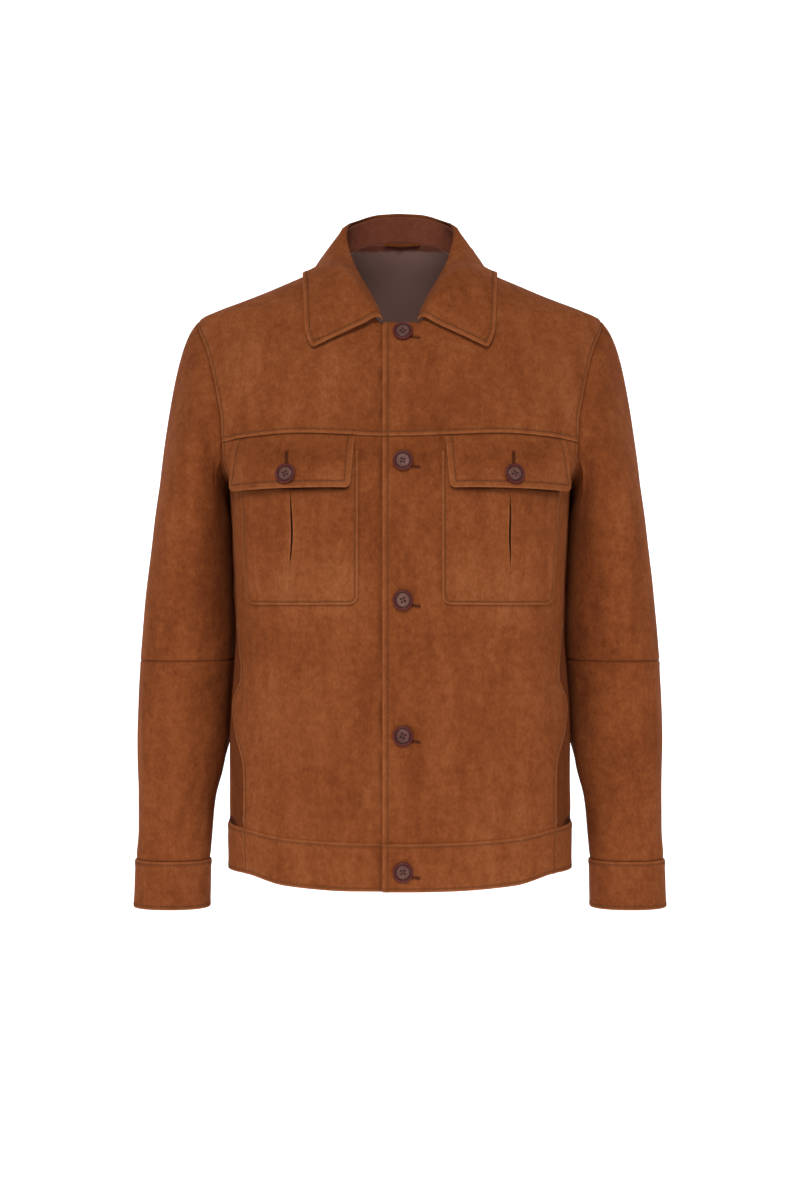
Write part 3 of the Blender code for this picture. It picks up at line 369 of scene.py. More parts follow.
def smooth_curve(xs, ys):
    """A smooth function through the rows that never overshoots them; it takes arrays."""
    order = np.argsort(xs)
    xs = np.array(xs, float)[order]
    ys = np.array(ys, float)[order]
    step = np.diff(xs)
    slope = np.diff(ys) / step
    tangent = np.zeros_like(ys)
    tangent[0] = slope[0]
    tangent[-1] = slope[-1]
    for i in range(1, len(xs) - 1):
        if slope[i - 1] * slope[i] > 0:
            near = 2 * step[i] + step[i - 1]
            far = step[i] + 2 * step[i - 1]
            tangent[i] = (near + far) / (near / slope[i - 1] + far / slope[i])

    def value(x):
        x = np.clip(x, xs[0], xs[-1])
        i = np.minimum(np.searchsorted(xs, x, "right") - 1, len(xs) - 2)
        t = (x - xs[i]) / step[i]
        rise = (3 - 2 * t) * t * t
        return (ys[i] * (1 - rise) + ys[i + 1] * rise
                + step[i] * t * (1 - t) * (tangent[i] * (1 - t) - tangent[i + 1] * t))
    return value


def table(kind, rows):
    """Plain rows of numbers as rows with names."""
    return [kind(*row) for row in rows]


def table_curves(rows, key):
    """One smooth function of the key column for each other column of a table."""
    keys = [getattr(row, key) for row in rows]
    return {name: smooth_curve(keys, [getattr(row, name) for row in rows])
            for name in rows[0]._fields if name != key}


def smooth_step(low, high, x):
    t = np.clip((x - low) / (high - low), 0.0, 1.0)
    return t * t * (3 - 2 * t)


print("curve check, half way up a straight ramp:", float(smooth_curve([0, 2], [0, 4])(1.0)))

# %% [markdown]
# ## The body's form
# Each row is one level of the body: half its width, how far its front and back stand out, and how
# square the section is. A plain ellipse would look like a tube, so the squareness makes the flat
# front and back and the rounded sides that cloth has over a chest.
# %% The body's sections
WALL = 1.8
BAND_WALL = 3.0
CUFF_WALL = 2.6
LINING_WALL = 1.0
LINING_GAP = 0.6
BAND_PROUD = 0.9
LAP = 18.0
LAP_GAP = 0.9
LAP_STEP = (WALL + LAP_GAP) / 2
BAND_LAP_STEP = (BAND_WALL + LAP_GAP) / 2
LAP_FLAT_TO = 20.0
LAP_FADES_BY = 70.0
BodyRow = namedtuple("BodyRow", "z half_width front back middle squareness")
BODY = table(BodyRow, [
    (34, 57, -25, 76, 8, 2.00),
    (15, 65, -38, 82, 6, 2.00),
    (0, 77, -48, 88, 5, 2.00),
    (-15, 107, -57, 94, 5, 2.00),
    (-28, 137.5, -66, 99, 5, 2.02),
    (-41, 170.5, -73, 104, 5, 2.05),
    (-54, 203.5, -79, 109, 5, 2.10),
    (-61, 217, -82, 112, 5, 2.15),
    (-75, 222, -87, 115, 5, 2.20),
    (-100, 224, -98, 121, 4, 2.30),
    (-150, 225, -115, 128, 2, 2.40),
    (-181, 221, -124, 129, 1, 2.45),
    (-200, 213, -128, 129, 0, 2.60),
    (-216, 203, -130, 128, 0, 2.80),
    (-228, 193, -132, 127, 0, 3.10),
    (-240, 184, -133, 126, 0, 3.40),
    (-265, 182, -135, 124, 0, 3.30),
    (-300, 180.5, -138, 120, 0, 3.10),
    (-350, 178.5, -138, 113, 0, 2.90),
    (-400, 177.5, -136, 108, 0, 2.80),
    (-440, 179.5, -135, 106, 0, 2.80),
    (-475, 182.5, -134, 107, 0, 2.80),
    (-520, 184.5, -134, 110, 0, 2.80),
    (-600, 185, -136, 117, 0, 2.80),
    (-670, 184.5, -133, 118, 0, 2.80),
])
body_curve = table_curves(BODY, "z")
print("chest half width", float(body_curve["half_width"](-200.0)), "mm")

# %% [markdown]
# ## Folds and creases
# Cloth on a figure is never even. The large soft folds are the ones that the solids have. To them
# come finer creases, each placed as a bent line on the unrolled cloth, with its own
# length, width and depth: drag lines from the armholes, the crumple over the hand pockets, the
# breaks at the elbows, and slack across the back. A minus height is a trough. Turns are degrees
# round the body, plus on the wearer's left.
# %% Tables of folds and creases
FoldRow = namedtuple("FoldRow", "turn_1 z_1 turn_2 z_2 width height")
BODY_ROUND = 150.0
BODY_SLACK = 1.25
BODY_FOLDS = table(FoldRow, [
    (24, -400, 21, -585, 26, 1.6),
    (38, -390, 44, -590, 17, -2.0),
    (56, -400, 54, -590, 16, 1.5),
    (88, -470, 84, -590, 15, -2.6),
    (101, -300, 107, -580, 16, -3.2),
    (121, -260, 117, -560, 20, 3.0),
    (140, -250, 133, -590, 18, -3.4),
    (158, -330, 156, -585, 20, 2.6),
    (172, -410, 176, -590, 17, -2.4),
    (104, -225, 124, -170, 15, -3.0),
    (62, -262, 40, -300, 20, -1.6),
])
SLEEVE_ROUND = 52.0
SLEEVE_FOLDS = table(FoldRow, [
    (44, -455, 42, -610, 8, 1.8),
    (97, -150, 92, -235, 11, 1.7),
    (70, -380, 112, -420, 11, -1.8),
    (100, -445, 140, -462, 10, -2.2),
    (104, -560, 84, -600, 12, 1.4),
    (228, -400, 290, -425, 12, -2.6),
    (225, -450, 280, -440, 10, 2.2),
    (262, -240, 284, -350, 15, -2.8),
    (310, -200, 300, -330, 14, 2.0),
    (250, -540, 275, -610, 12, -2.2),
])
CreaseRow = namedtuple("CreaseRow", "turn_1 z_1 turn_2 z_2 bend width height")
BODY_CREASES = table(CreaseRow, [
    # crumple over the hand pockets
    (-63, -392, -54, -401, 3, 4.5, -1.3), (-66, -404, -57, -418, -2, 4.0, -1.1),
    (-60, -414, -48, -420, 3, 5.0, -0.8), (-64, -424, -58, -442, 2, 4.0, 0.9),
    (62, -396, 55, -404, -3, 4.5, -1.2), (65, -410, 56, -421, 2, 4.0, -1.0),
    (60, -421, 50, -424, -2, 5.5, -0.7), (63, -430, 59, -449, 2, 4.0, 0.8),
    (-68, -398, -60, -409, 2, 2.6, -1.0), (-58, -404, -52, -411, -1, 2.4, -0.9),
    (-61, -409, -55, -427, 2, 2.8, -0.9), (-52, -398, -44, -406, 2, 3.0, -0.7),
    (67, -401, 60, -414, -2, 2.6, -1.0), (57, -401, 51, -409, 1, 2.5, -0.8),
    (60, -413, 54, -431, -2, 2.8, -0.9), (52, -399, 45, -409, -2, 3.0, -0.7),
    # slack below the chest pockets and by the front edge
    (-46, -386, -28, -392, 5, 8.0, -0.8), (44, -390, 24, -398, -6, 9.0, -0.8),
    (-30, -455, -14, -520, 8, 11.0, -0.9), (33, -470, 19, -560, -8, 12.0, -0.9),
    (-50, -500, -46, -588, 4, 9.0, 0.8), (52, -480, 47, -580, -4, 9.0, 0.7),
    (-24, -560, -33, -598, 3, 8.0, -0.7), (27, -575, 38, -600, 3, 8.0, -0.7),
    # chest: soft drags from the armhole and the shoulder
    (-64, -160, -47, -128, 6, 9.0, -1.0), (63, -168, 45, -120, -6, 10.0, -1.0),
    (-66, -185, -52, -172, 3, 6.0, 0.8), (65, -188, 50, -178, -3, 6.0, 0.7),
    (-30, -110, -22, -180, 5, 12.0, -0.7), (28, -118, 23, -186, -4, 12.0, -0.8),
    # the shoulder swells under the leaf's outer corner
    (80, -20, 100, -20, 0, 13.0, 1.9), (-80, -20, -100, -20, 0, 13.0, 1.9),
    # side, below the arm
    (-86, -262, -74, -330, 6, 8.0, -1.6), (84, -258, 76, -320, -6, 8.0, -1.5),
    (-92, -330, -80, -372, 4, 7.0, 1.2), (95, -345, 82, -388, -5, 8.0, 1.2),
    (-97, -500, -84, -560, 5, 9.0, -1.6), (96, -515, 87, -575, -4, 9.0, -1.5),
    # back: drags from the armholes, slack at the waist, pull over the shoulder blades
    (-112, -190, -138, -142, 9, 9.0, -1.9), (113, -182, 136, -150, -8, 9.0, -1.7),
    (-116, -226, -146, -262, -8, 9.0, -1.6), (115, -232, 142, -280, 9, 10.0, -1.7),
    (-120, -320, -158, -346, 8, 9.0, -1.5), (124, -336, 166, -352, -7, 9.0, -1.6),
    (-128, -392, -172, -404, -6, 8.0, -1.4), (118, -404, 150, -418, 6, 8.0, -1.5),
    (-150, -440, -178, -430, 5, 8.0, 1.1), (150, -452, 176, -466, -5, 8.0, 1.1),
    (170, -110, -172, -180, 6, 14.0, -1.2), (-150, -70, -162, -150, 6, 12.0, 1.0),
    (152, -76, 163, -146, -6, 12.0, 1.0), (-140, -540, -136, -596, 4, 9.0, -1.5),
    (144, -530, 150, -598, -4, 9.0, -1.4), (-166, -545, -170, -600, 3, 8.0, -1.2),
])
BACK_CREASES = table(CreaseRow, [
    # the hollow beside each hand pocket, just above the waistband
    (-72, -560, -67, -600, 0, 7.0, -2.8), (72, -560, 67, -600, 0, 7.0, -2.8),
    (-76, -598, -66, -604, 0, 6.0, -3.2), (76, -598, 66, -604, 0, 6.0, -3.2),
])
SLEEVE_CREASES = {
    1: table(CreaseRow, [
        (75, -120, 84, -205, 3, 7.0, -1.0), (118, -190, 128, -300, -4, 8.0, -1.3),
        (92, -250, 104, -330, 3, 8.0, 0.8), (60, -300, 66, -392, 3, 9.0, -0.9),
        (128, -372, 84, -396, 5, 6.5, -1.5), (142, -402, 96, -424, -4, 6.0, -1.4),
        (118, -432, 84, -438, 2, 5.0, 0.9), (148, -446, 98, -470, 5, 6.5, -1.7),
        (132, -484, 92, -506, -4, 6.5, -1.2), (80, -520, 66, -610, 4, 8.0, -1.2),
        (120, -560, 96, -632, -3, 7.0, -1.0), (40, -590, 60, -640, 2, 6.0, -0.8),
        (205, -380, 250, -398, 5, 7.0, -2.0), (210, -420, 262, -440, -5, 7.0, -2.1),
        (215, -462, 268, -486, 4, 7.0, -1.8), (285, -300, 318, -392, 5, 9.0, -1.5),
        (330, -220, 322, -310, -4, 9.0, -1.2), (280, -560, 300, -636, 4, 8.0, -1.5),
        (22, -230, 14, -330, 3, 10.0, -0.8), (352, -470, 8, -560, 3, 8.0, -1.0),
    ]),
    -1: table(CreaseRow, [
        (78, -128, 86, -215, -3, 7.0, -1.0), (116, -200, 130, -290, 4, 8.0, -1.3),
        (96, -262, 100, -340, 3, 8.0, 0.8), (63, -310, 61, -400, -3, 9.0, -0.9),
        (124, -366, 80, -388, -5, 6.5, -1.4), (144, -396, 100, -416, 4, 6.0, -1.5),
        (112, -436, 80, -442, -2, 5.0, 0.9), (146, -452, 102, -462, 4, 6.5, -1.6),
        (130, -478, 88, -500, 4, 6.5, -1.3), (76, -530, 70, -604, -4, 8.0, -1.1),
        (122, -552, 100, -626, 3, 7.0, -1.1), (38, -596, 56, -642, -2, 6.0, -0.8),
        (203, -372, 248, -392, -5, 7.0, -2.0), (208, -414, 266, -430, 5, 7.0, -2.1),
        (212, -456, 262, -480, -4, 7.0, -1.8), (288, -310, 314, -400, -5, 9.0, -1.5),
        (328, -230, 324, -300, 4, 9.0, -1.2), (282, -550, 298, -630, -4, 8.0, -1.5),
        (18, -240, 12, -340, -3, 10.0, -0.8), (354, -480, 4, -566, -3, 8.0, -1.0),
    ]),
}


def fold_height(rows, round_size, turn, z):
    """The large soft folds, as in the solids."""
    scale = math.radians(1) * round_size
    total = 0.0
    for row in rows:
        along = ((row.turn_2 - row.turn_1) * scale, row.z_2 - row.z_1)
        place = ((turn - row.turn_1) * scale, z - row.z_1)
        share = (place[0] * along[0] + place[1] * along[1]) / (along[0] ** 2 + along[1] ** 2)
        share = np.clip(share, 0.0, 1.0)
        off = (place[0] - share * along[0]) ** 2 + (place[1] - share * along[1]) ** 2
        total = total + row.height * np.exp(-off / row.width ** 2)
    return total


def crease_height(rows, round_size, turn, z):
    """Finer creases: bent, pointed at both ends, with a low bank along each side."""
    scale = math.radians(1) * round_size
    total = 0.0
    for row in rows:
        turns_along = (row.turn_2 - row.turn_1 + 180) % 360 - 180
        along = (turns_along * scale, row.z_2 - row.z_1)
        length = math.hypot(*along)
        place = (((turn - row.turn_1 + 180) % 360 - 180) * scale, z - row.z_1)
        share = (place[0] * along[0] + place[1] * along[1]) / length ** 2
        inside = np.clip(share, 0.0, 1.0)
        swell = np.sin(math.pi * inside)
        across = (place[0] * along[1] - place[1] * along[0]) / length + row.bend * swell
        off = np.hypot(across, (share - inside) * length) / row.width
        bank = np.exp(-off ** 2) - 0.32 * np.exp(-(off / 2.3) ** 2)
        total = total + row.height * bank * (0.15 + 0.85 * swell)
    return total


print("creases placed:", len(BODY_CREASES) + sum(len(rows) for rows in SLEEVE_CREASES.values()))

# %% [markdown]
# ## A point on the body, a point on a sleeve
# With the sections and the creases, any angle and height gives a point of the outer face. The
# mirrored side is worked out on the left and turned over later, but with its own creases, so no
# two sides are quite alike. A sleeve leaves the armhole on a short curve and becomes a tube. Its
# slack gathers in one long ridge behind its inner side, where it meets the body, so no daylight
# shows between the two above the waist.
# %% Points on the body and its lines


def body_section(angle, z):
    middle = body_curve["middle"](z)
    front = middle - body_curve["front"](z)
    back = body_curve["back"](z) - middle
    depth = np.where(np.cos(np.radians(angle)) > 0, front, back)
    return body_curve["half_width"](z), depth, middle, body_curve["squareness"](z)


def body_point(angle, z, side=1, extra=()):
    """The outer face of the body. An array of angles and heights gives an array of points."""
    angle, z = np.asarray(angle, float), np.asarray(z, float)
    width, depth, middle, power = body_section(angle, z)
    s = np.sin(np.radians(angle))
    c = np.cos(np.radians(angle))
    reach = ((abs(s) / width) ** power + (abs(c) / depth) ** power) ** (-1 / power)
    reach = reach + fold_height(BODY_FOLDS, BODY_ROUND, abs(angle), z)
    creases = crease_height(BODY_CREASES + list(extra), BODY_ROUND, side * angle, z)
    reach = reach + creases * BODY_SLACK
    return np.stack([reach * s, middle - reach * c, z + 0 * reach], -1)


def unit(vectors):
    return vectors / np.maximum(np.linalg.norm(vectors, axis=-1, keepdims=True), 1e-9)


def body_normal(angle, z, side=1):
    step = 0.4
    across = body_point(angle + step, z, side) - body_point(angle - step, z, side)
    up = body_point(angle, z + step, side) - body_point(angle, z - step, side)
    return unit(np.cross(across, up))


def front_angle(x, z):
    """The angle at which the front stands at this X."""
    width, depth, _, power = body_section(0.0 * x, z)
    inward = depth * (1 - np.minimum(abs(x) / width, 0.999) ** power) ** (1 / power)
    return np.degrees(np.arctan2(x, inward))


print("front centre at the chest:", body_point(0.0, -200.0).round(1))

# %% Points on a sleeve
SleeveRow = namedtuple("SleeveRow", "z outer inner front back squareness")
SLEEVE = table(SleeveRow, [
    (-290, 267, 184.5, -73, 72, 2.30),
    (-350, 274, 182.0, -67, 63, 2.30),
    (-400, 279, 181.0, -62, 57, 2.28),
    (-431, 281.5, 183.0, -60, 53, 2.25),
    (-475, 283.5, 185.8, -57, 48, 2.22),
    (-513, 284.5, 187.6, -54, 43, 2.20),
    (-546, 284.3, 191.5, -51, 38, 2.20),
    (-580, 283.5, 199.5, -49, 32, 2.20),
    (-613, 283.5, 203.0, -47, 26, 2.20),
    (-645.5, 285.5, 205.5, -46, 22, 2.20),
    (-697.5, 287.5, 206.5, -45, 21, 2.20),
])
BICEP_Z = -290.0
ELBOW_Z = -431.0
CUFF_SEAM_Z = -645.5
CUFF_HEM_Z = -697.5
BICEP_PULL = 0.36
PRESSED_TURN, PRESSED_WIDE, PRESSED_HEIGHT = 209.0, 12.0, 8.5
PRESSED_FROM, PRESSED_TO = 190.0, 500.0
PRESSED_FADES = 60.0
SLEEVE_SLACK = 1.5
HeadRow = namedtuple("HeadRow", "turn x y z reach")
SLEEVE_HEAD = table(HeadRow, [
    (0, 0.93, 0.00, -0.36, 27),
    (45, 0.92, -0.25, -0.30, 24),
    (90, 0.82, -0.30, -0.48, 24),
    (135, 0.72, -0.25, -0.65, 16),
    (180, 0.75, 0.00, -0.66, 9),
    (225, 0.72, 0.25, -0.65, 16),
    (270, 0.82, 0.30, -0.48, 24),
    (315, 0.92, 0.25, -0.30, 24),
    (360, 0.93, 0.00, -0.36, 27),
])
sleeve_curve = table_curves(SLEEVE, "z")
head_curve = table_curves(SLEEVE_HEAD, "turn")


def sleeve_relief(turn, z, side, share=1.0):
    """Folds and creases of a sleeve, and the ridge behind its inner side; they fade at the armhole."""
    fold = fold_height(SLEEVE_FOLDS, SLEEVE_ROUND, turn, z)
    off = (turn - PRESSED_TURN) * math.radians(1) * SLEEVE_ROUND / PRESSED_WIDE
    along = (smooth_step(PRESSED_FROM, PRESSED_FROM + PRESSED_FADES, -z)
             * (1 - smooth_step(PRESSED_TO, PRESSED_TO + PRESSED_FADES, -z)))
    pressed = PRESSED_HEIGHT * np.exp(-off ** 2) * along
    creases = crease_height(SLEEVE_CREASES[side], SLEEVE_ROUND, turn, z) * SLEEVE_SLACK
    return (fold + pressed + creases) * share


def sleeve_point(turn, z, side=1, relief=True):
    """The outer face below the bicep ring; turn 0 is outside, 90 in front, 180 towards the body."""
    outer, inner = sleeve_curve["outer"](z), sleeve_curve["inner"](z)
    front, back = sleeve_curve["front"](z), sleeve_curve["back"](z)
    power = sleeve_curve["squareness"](z)
    s = np.sin(np.radians(turn))
    c = np.cos(np.radians(turn))
    width = (outer - inner) / 2
    depth = (back - front) / 2
    reach = ((abs(c) / width) ** power + (abs(s) / depth) ** power) ** (-1 / power)
    if relief:
        reach = reach + sleeve_relief(turn, z, side)
    return np.stack([(outer + inner) / 2 + reach * c, (front + back) / 2 - reach * s, z + 0 * reach], -1)


def sleeve_head_point(seam, turn, share, side=1):
    """Between the armhole seam and the bicep ring, on a curve that leaves the seam outwards."""
    bicep = sleeve_point(turn, BICEP_Z + 0 * turn, side, relief=False)
    below = sleeve_point(turn, BICEP_Z - 10 + 0 * turn, side, relief=False)
    out = unit(np.stack([head_curve[axis](turn) for axis in "xyz"], -1))
    length = np.linalg.norm(bicep - seam, axis=-1, keepdims=True)
    pull = unit(bicep - below) * BICEP_PULL * length
    p1 = seam + out * head_curve["reach"](turn)[..., None]
    p2 = bicep + pull
    t = share[..., None]
    point = (seam * (1 - t) ** 3 + p1 * 3 * t * (1 - t) ** 2
             + p2 * 3 * t * t * (1 - t) + bicep * t ** 3)
    relief = sleeve_relief(turn, point[..., 2], side, smooth_step(0.0, 0.5, share))
    c, s = np.cos(np.radians(turn)), np.sin(np.radians(turn))
    return point + np.stack([c, -s, 0 * c], -1) * relief[..., None]


print("sleeve's outer side at the elbow:", sleeve_point(0.0, ELBOW_Z).round(1))

# %% [markdown]
# ## The seam lines
# A pattern cutter draws the seams on the body, then cuts along them. The seams here are rows of
# angle and height with a fair line through them. `walk` measures along a line on the cloth, so
# that points are spread by true distance, close together at an edge, where the cloth turns.
# %% Draw the seams on the body
LineRow = namedtuple("LineRow", "angle z")
NECKLINE = table(LineRow, [
    (-14, -75), (0, -75), (12, -75), (17, -67), (24, -52),
    (31.5, -38), (45, -22), (59, -12), (75, -5), (90, 0),
    (110, 8), (135, 20), (160, 29), (180, 32),
])
YOKE_SEAM = table(LineRow, [
    (-12, -197.6), (0, -197.6), (20, -196), (43, -193.5),
    (58, -196.5), (67.1, -200.5),
])
BAND_SEAM = table(LineRow, [
    (-12, -615.3), (0, -615.3), (20, -614.5), (45, -611),
    (61.8, -604.5), (90, -603), (120, -604), (180, -606),
])
HEM = table(LineRow, [
    (-12, -665.3), (0, -665.3), (20, -665), (45, -661),
    (61.8, -652), (75, -653), (90, -656), (120, -657),
    (180, -657),
])
SIDE_SEAM = table(LineRow, [
    (61.8, -604.5), (61.8, -575), (62.5, -541), (70, -500),
    (74, -477), (69, -460), (66, -444), (71.5, -392),
    (71, -330), (70, -270), (68.5, -218),
])
ARMHOLE_YOKE = table(LineRow, [
    (90, -61), (84.3, -75), (78.1, -96), (71.6, -136),
    (67.4, -178), (67.1, -200.5),
])
ARMHOLE_FRONT = table(LineRow, [(67.1, -200.5), (68.5, -218)])
ARMHOLE_UNDER = table(LineRow, [(68.5, -218), (73, -229), (81, -237), (90, -240)])
ARMHOLE_BACK = table(LineRow, [
    (90, -240), (100, -237), (108, -228), (111.5, -210),
    (112, -181), (107.7, -136), (101.6, -96), (95.7, -75),
    (90, -61),
])
UNDERARM_Z = -240.0
DENSE = 120


def height_curve(rows):
    return smooth_curve([row.angle for row in rows], [row.z for row in rows])


neck_z, yoke_z, band_z, hem_z = (height_curve(rows) for rows in (NECKLINE, YOKE_SEAM, BAND_SEAM, HEM))


def line_through(rows):
    """A smooth line through rows of angle and height, as many places."""
    at = np.arange(len(rows))
    share = np.linspace(0, at[-1], DENSE + 1)
    angle = smooth_curve(at, [row.angle for row in rows])(share)
    return np.stack([angle, smooth_curve(at, [row.z for row in rows])(share)], -1)


def line_along(height, start, end):
    angle = np.linspace(start, end, DENSE + 1)
    return np.stack([angle, height(angle)], -1)


def centre_edge(low, high):
    z = np.linspace(low, high, DENSE + 1)
    return np.stack([front_angle(-LAP + 0 * z, z), z], -1)


def straight(start, end):
    return np.linspace(start, end, DENSE + 1)


def on_body(places, side=1, extra=()):
    return body_point(places[..., 0], places[..., 1], side, extra)


def length_of(points):
    return float(np.linalg.norm(np.diff(points, axis=0), axis=1).sum())


def walk(line, shares):
    """Places along a line at given shares of its true length on the body."""
    steps = np.linalg.norm(np.diff(on_body(line), axis=0), axis=1)
    run = np.concatenate([[0], np.cumsum(steps)])
    goals = np.asarray(shares) * run[-1]
    return np.stack([np.interp(goals, run, line[:, 0]), np.interp(goals, run, line[:, 1])], -1)


print("armhole, front half:", round(length_of(on_body(line_through(ARMHOLE_YOKE))), 1), "mm")

# %% [markdown]
# ## Laying a piece between its seams
# A cut piece has four sides. A Coons patch fills them: it blends the low side into the high one
# and the left into the right, so each point of the piece has an angle and a height, and from them
# its place on the body. `spread` puts the rows close together beside a sewn edge.
# %% Fill a piece from its four sides
NEAR_EDGE = (0.0, 0.25, 0.6, 1.0, 1.6, 2.4, 3.4, 4.4, 5.4, 6.6, 8.2, 10.4)
CLOTH_STEP = 3.9


def spread(length, low_edge=True, high_edge=True, step=CLOTH_STEP):
    """Shares of a length, close together at a sewn edge and even between."""
    low = list(NEAR_EDGE) if low_edge else [0.0]
    high = [length - d for d in reversed(NEAR_EDGE)] if high_edge else [length]
    count = max(int((high[0] - low[-1]) / step), 2)
    inner = np.linspace(low[-1], high[0], count + 1)[1:-1]
    return np.concatenate([low, inner, high]) / length


def fill_patch(low, high, left, right, across, up):
    """Coons patch between four sides, each a list of places."""
    u = np.asarray(across)[None, :, None]
    v = np.asarray(up)[:, None, None]
    ruled = (1 - v) * low[None] + v * high[None] + (1 - u) * left[:, None] + u * right[:, None]
    corners = ((1 - u) * (1 - v) * low[0] + u * (1 - v) * low[-1]
               + (1 - u) * v * high[0] + u * v * high[-1])
    return ruled - corners


def four_sided(low, high, left, right, across=None, up=None):
    """A patch of even density between four lines, measured on the body."""
    wide = (length_of(on_body(low)) + length_of(on_body(high))) / 2
    tall = (length_of(on_body(left)) + length_of(on_body(right))) / 2
    across = spread(wide) if across is None else across
    up = spread(tall) if up is None else up
    return fill_patch(walk(low, across), walk(high, across), walk(left, up), walk(right, up), across, up)


def join_lines(*lines):
    return np.concatenate([lines[0]] + [line[1:] for line in lines[1:]])


def open_edge(grid):
    """The line down one side of a grid of points, along its lowest row and up the other side."""
    return np.concatenate([grid[::-1, 0], grid[0, 1:-1], grid[:, -1]])


print("rows across a 200 mm piece:", len(spread(200.0)))

# %% [markdown]
# ## From an outer face to real cloth
# A `Panel` keeps the outer face of one piece. It welds its patches, finds its normals, and
# measures how far each point is from each named seam. From those distances come the things that
# make sewn leather look sewn: the rounded edge, the raised seam allowance, the pressed stitch
# line. Then the face gets its thickness inwards and its rim is closed.
# %% The Panel class
FAR = 1000.0


def distance_to_line(points, line, reach=30.0):
    """How far each point is from a line, the length run to its nearest place, and that place."""
    away = np.full(len(points), FAR)
    place = np.zeros(len(points))
    spot = np.zeros(len(points))
    low, high = line.min(0) - reach, line.max(0) + reach
    near = np.flatnonzero(np.all((points > low) & (points < high), axis=1))
    steps = np.diff(line, axis=0)
    length = np.maximum(np.linalg.norm(steps, axis=1), 1e-9)
    run = np.concatenate([[0], np.cumsum(length)])
    for block in np.array_split(near, max(len(near) // 1500, 1)):
        offset = points[block][:, None] - line[None, :-1]
        share = np.clip((offset * steps).sum(2) / length ** 2, 0, 1)
        gap = np.linalg.norm(offset - share[..., None] * steps, axis=2)
        best = gap.argmin(1)
        row = np.arange(len(block))
        away[block] = gap[row, best]
        place[block] = run[best] + share[row, best] * length[best]
        spot[block] = best + share[row, best]
    return away, place, spot


def cut_size(grid, halves=1):
    """Width and length of the cut piece, along its longest rows and columns, in metres."""
    wide = np.linalg.norm(np.diff(grid, axis=1), axis=2).sum(1).max() * halves
    tall = np.linalg.norm(np.diff(grid, axis=0), axis=2).sum(0).max()
    return round(wide * MM, 3), round(tall * MM, 3)


LEAN_WITHIN = 7.0
RUNS_APART = 500.0


class Panel:
    """The outer face of one cut piece, with its seams."""

    def __init__(self, grids, normals=None, lifts=None, halves=1):
        self.flat = cut_size(grids[0], halves)
        points, quads, start = [], [], 0
        for grid in grids:
            rows, columns = grid.shape[:2]
            index = start + np.arange(rows * columns).reshape(rows, columns)
            corners = [index[:-1, :-1], index[:-1, 1:], index[1:, 1:], index[1:, :-1]]
            quads.append(np.stack(corners, -1).reshape(-1, 4))
            points.append(grid.reshape(-1, 3))
            start += rows * columns
        points = np.concatenate(points)
        _, first, back = np.unique(np.round(points, 2) + 0.0, axis=0,
                                   return_index=True, return_inverse=True)
        self.order = first
        self.points = points[first]
        self.quads = back.reshape(-1)[np.concatenate(quads)]
        self.normals = self.find_normals()
        if normals is not None:
            self.normals = normals.reshape(-1, 3)[first]
        self.lift = 0.0 if lifts is None else lifts.reshape(-1)[first]
        self.away = {}
        self.run = {}
        self.stitches = []
        self.height = np.zeros(len(self.points))
        self.marks = {name: np.zeros(len(self.points)) for name in ("edge", "groove", "nap")}

    def find_normals(self):
        a, b, c, d = (self.points[self.quads[:, k]] for k in range(4))
        facing = np.cross(c - a, d - b)
        self.area = float(np.linalg.norm(facing, axis=1).sum()) / 2 * MM ** 2
        normals = np.zeros_like(self.points)
        for k in range(4):
            np.add.at(normals, self.quads[:, k], facing)
        return unit(normals)

    def seam(self, name, line, lean=None):
        """Measure every point's distance from a seam. Seams of one name add up.

        Where two pieces meet at an angle, `lean` is the way that both their edges face.
        """
        away, run, spot = distance_to_line(self.points, line)
        if lean is not None:
            whole = np.minimum(spot.astype(int), len(line) - 2)
            part = (spot - whole)[:, None]
            common = unit(lean[whole] * (1 - part) + lean[whole + 1] * part)
            hold = (1 - smooth_step(0.0, LEAN_WITHIN, away))[:, None]
            self.normals = unit(self.normals * (1 - hold) + common * hold)
        if name in self.away:
            nearer = away < self.away[name]
            self.away[name] = np.where(nearer, away, self.away[name])
            self.run[name] = np.where(nearer, run + RUNS_APART, self.run[name])
        else:
            self.away[name], self.run[name] = away, run

    def mark(self, name, amount):
        """Raise one of the marks to at least this much."""
        self.marks[name] = np.maximum(self.marks[name], amount)

    def rim_loops(self):
        """The open edges of the face, as pairs that run with the faces."""
        edges = np.concatenate([self.quads[:, [k, (k + 1) % 4]] for k in range(4)])
        known = set(map(tuple, edges))
        return [(a, b) for a, b in known if (b, a) not in known]


print("a Panel keeps points, faces, normals and distances to its seams")
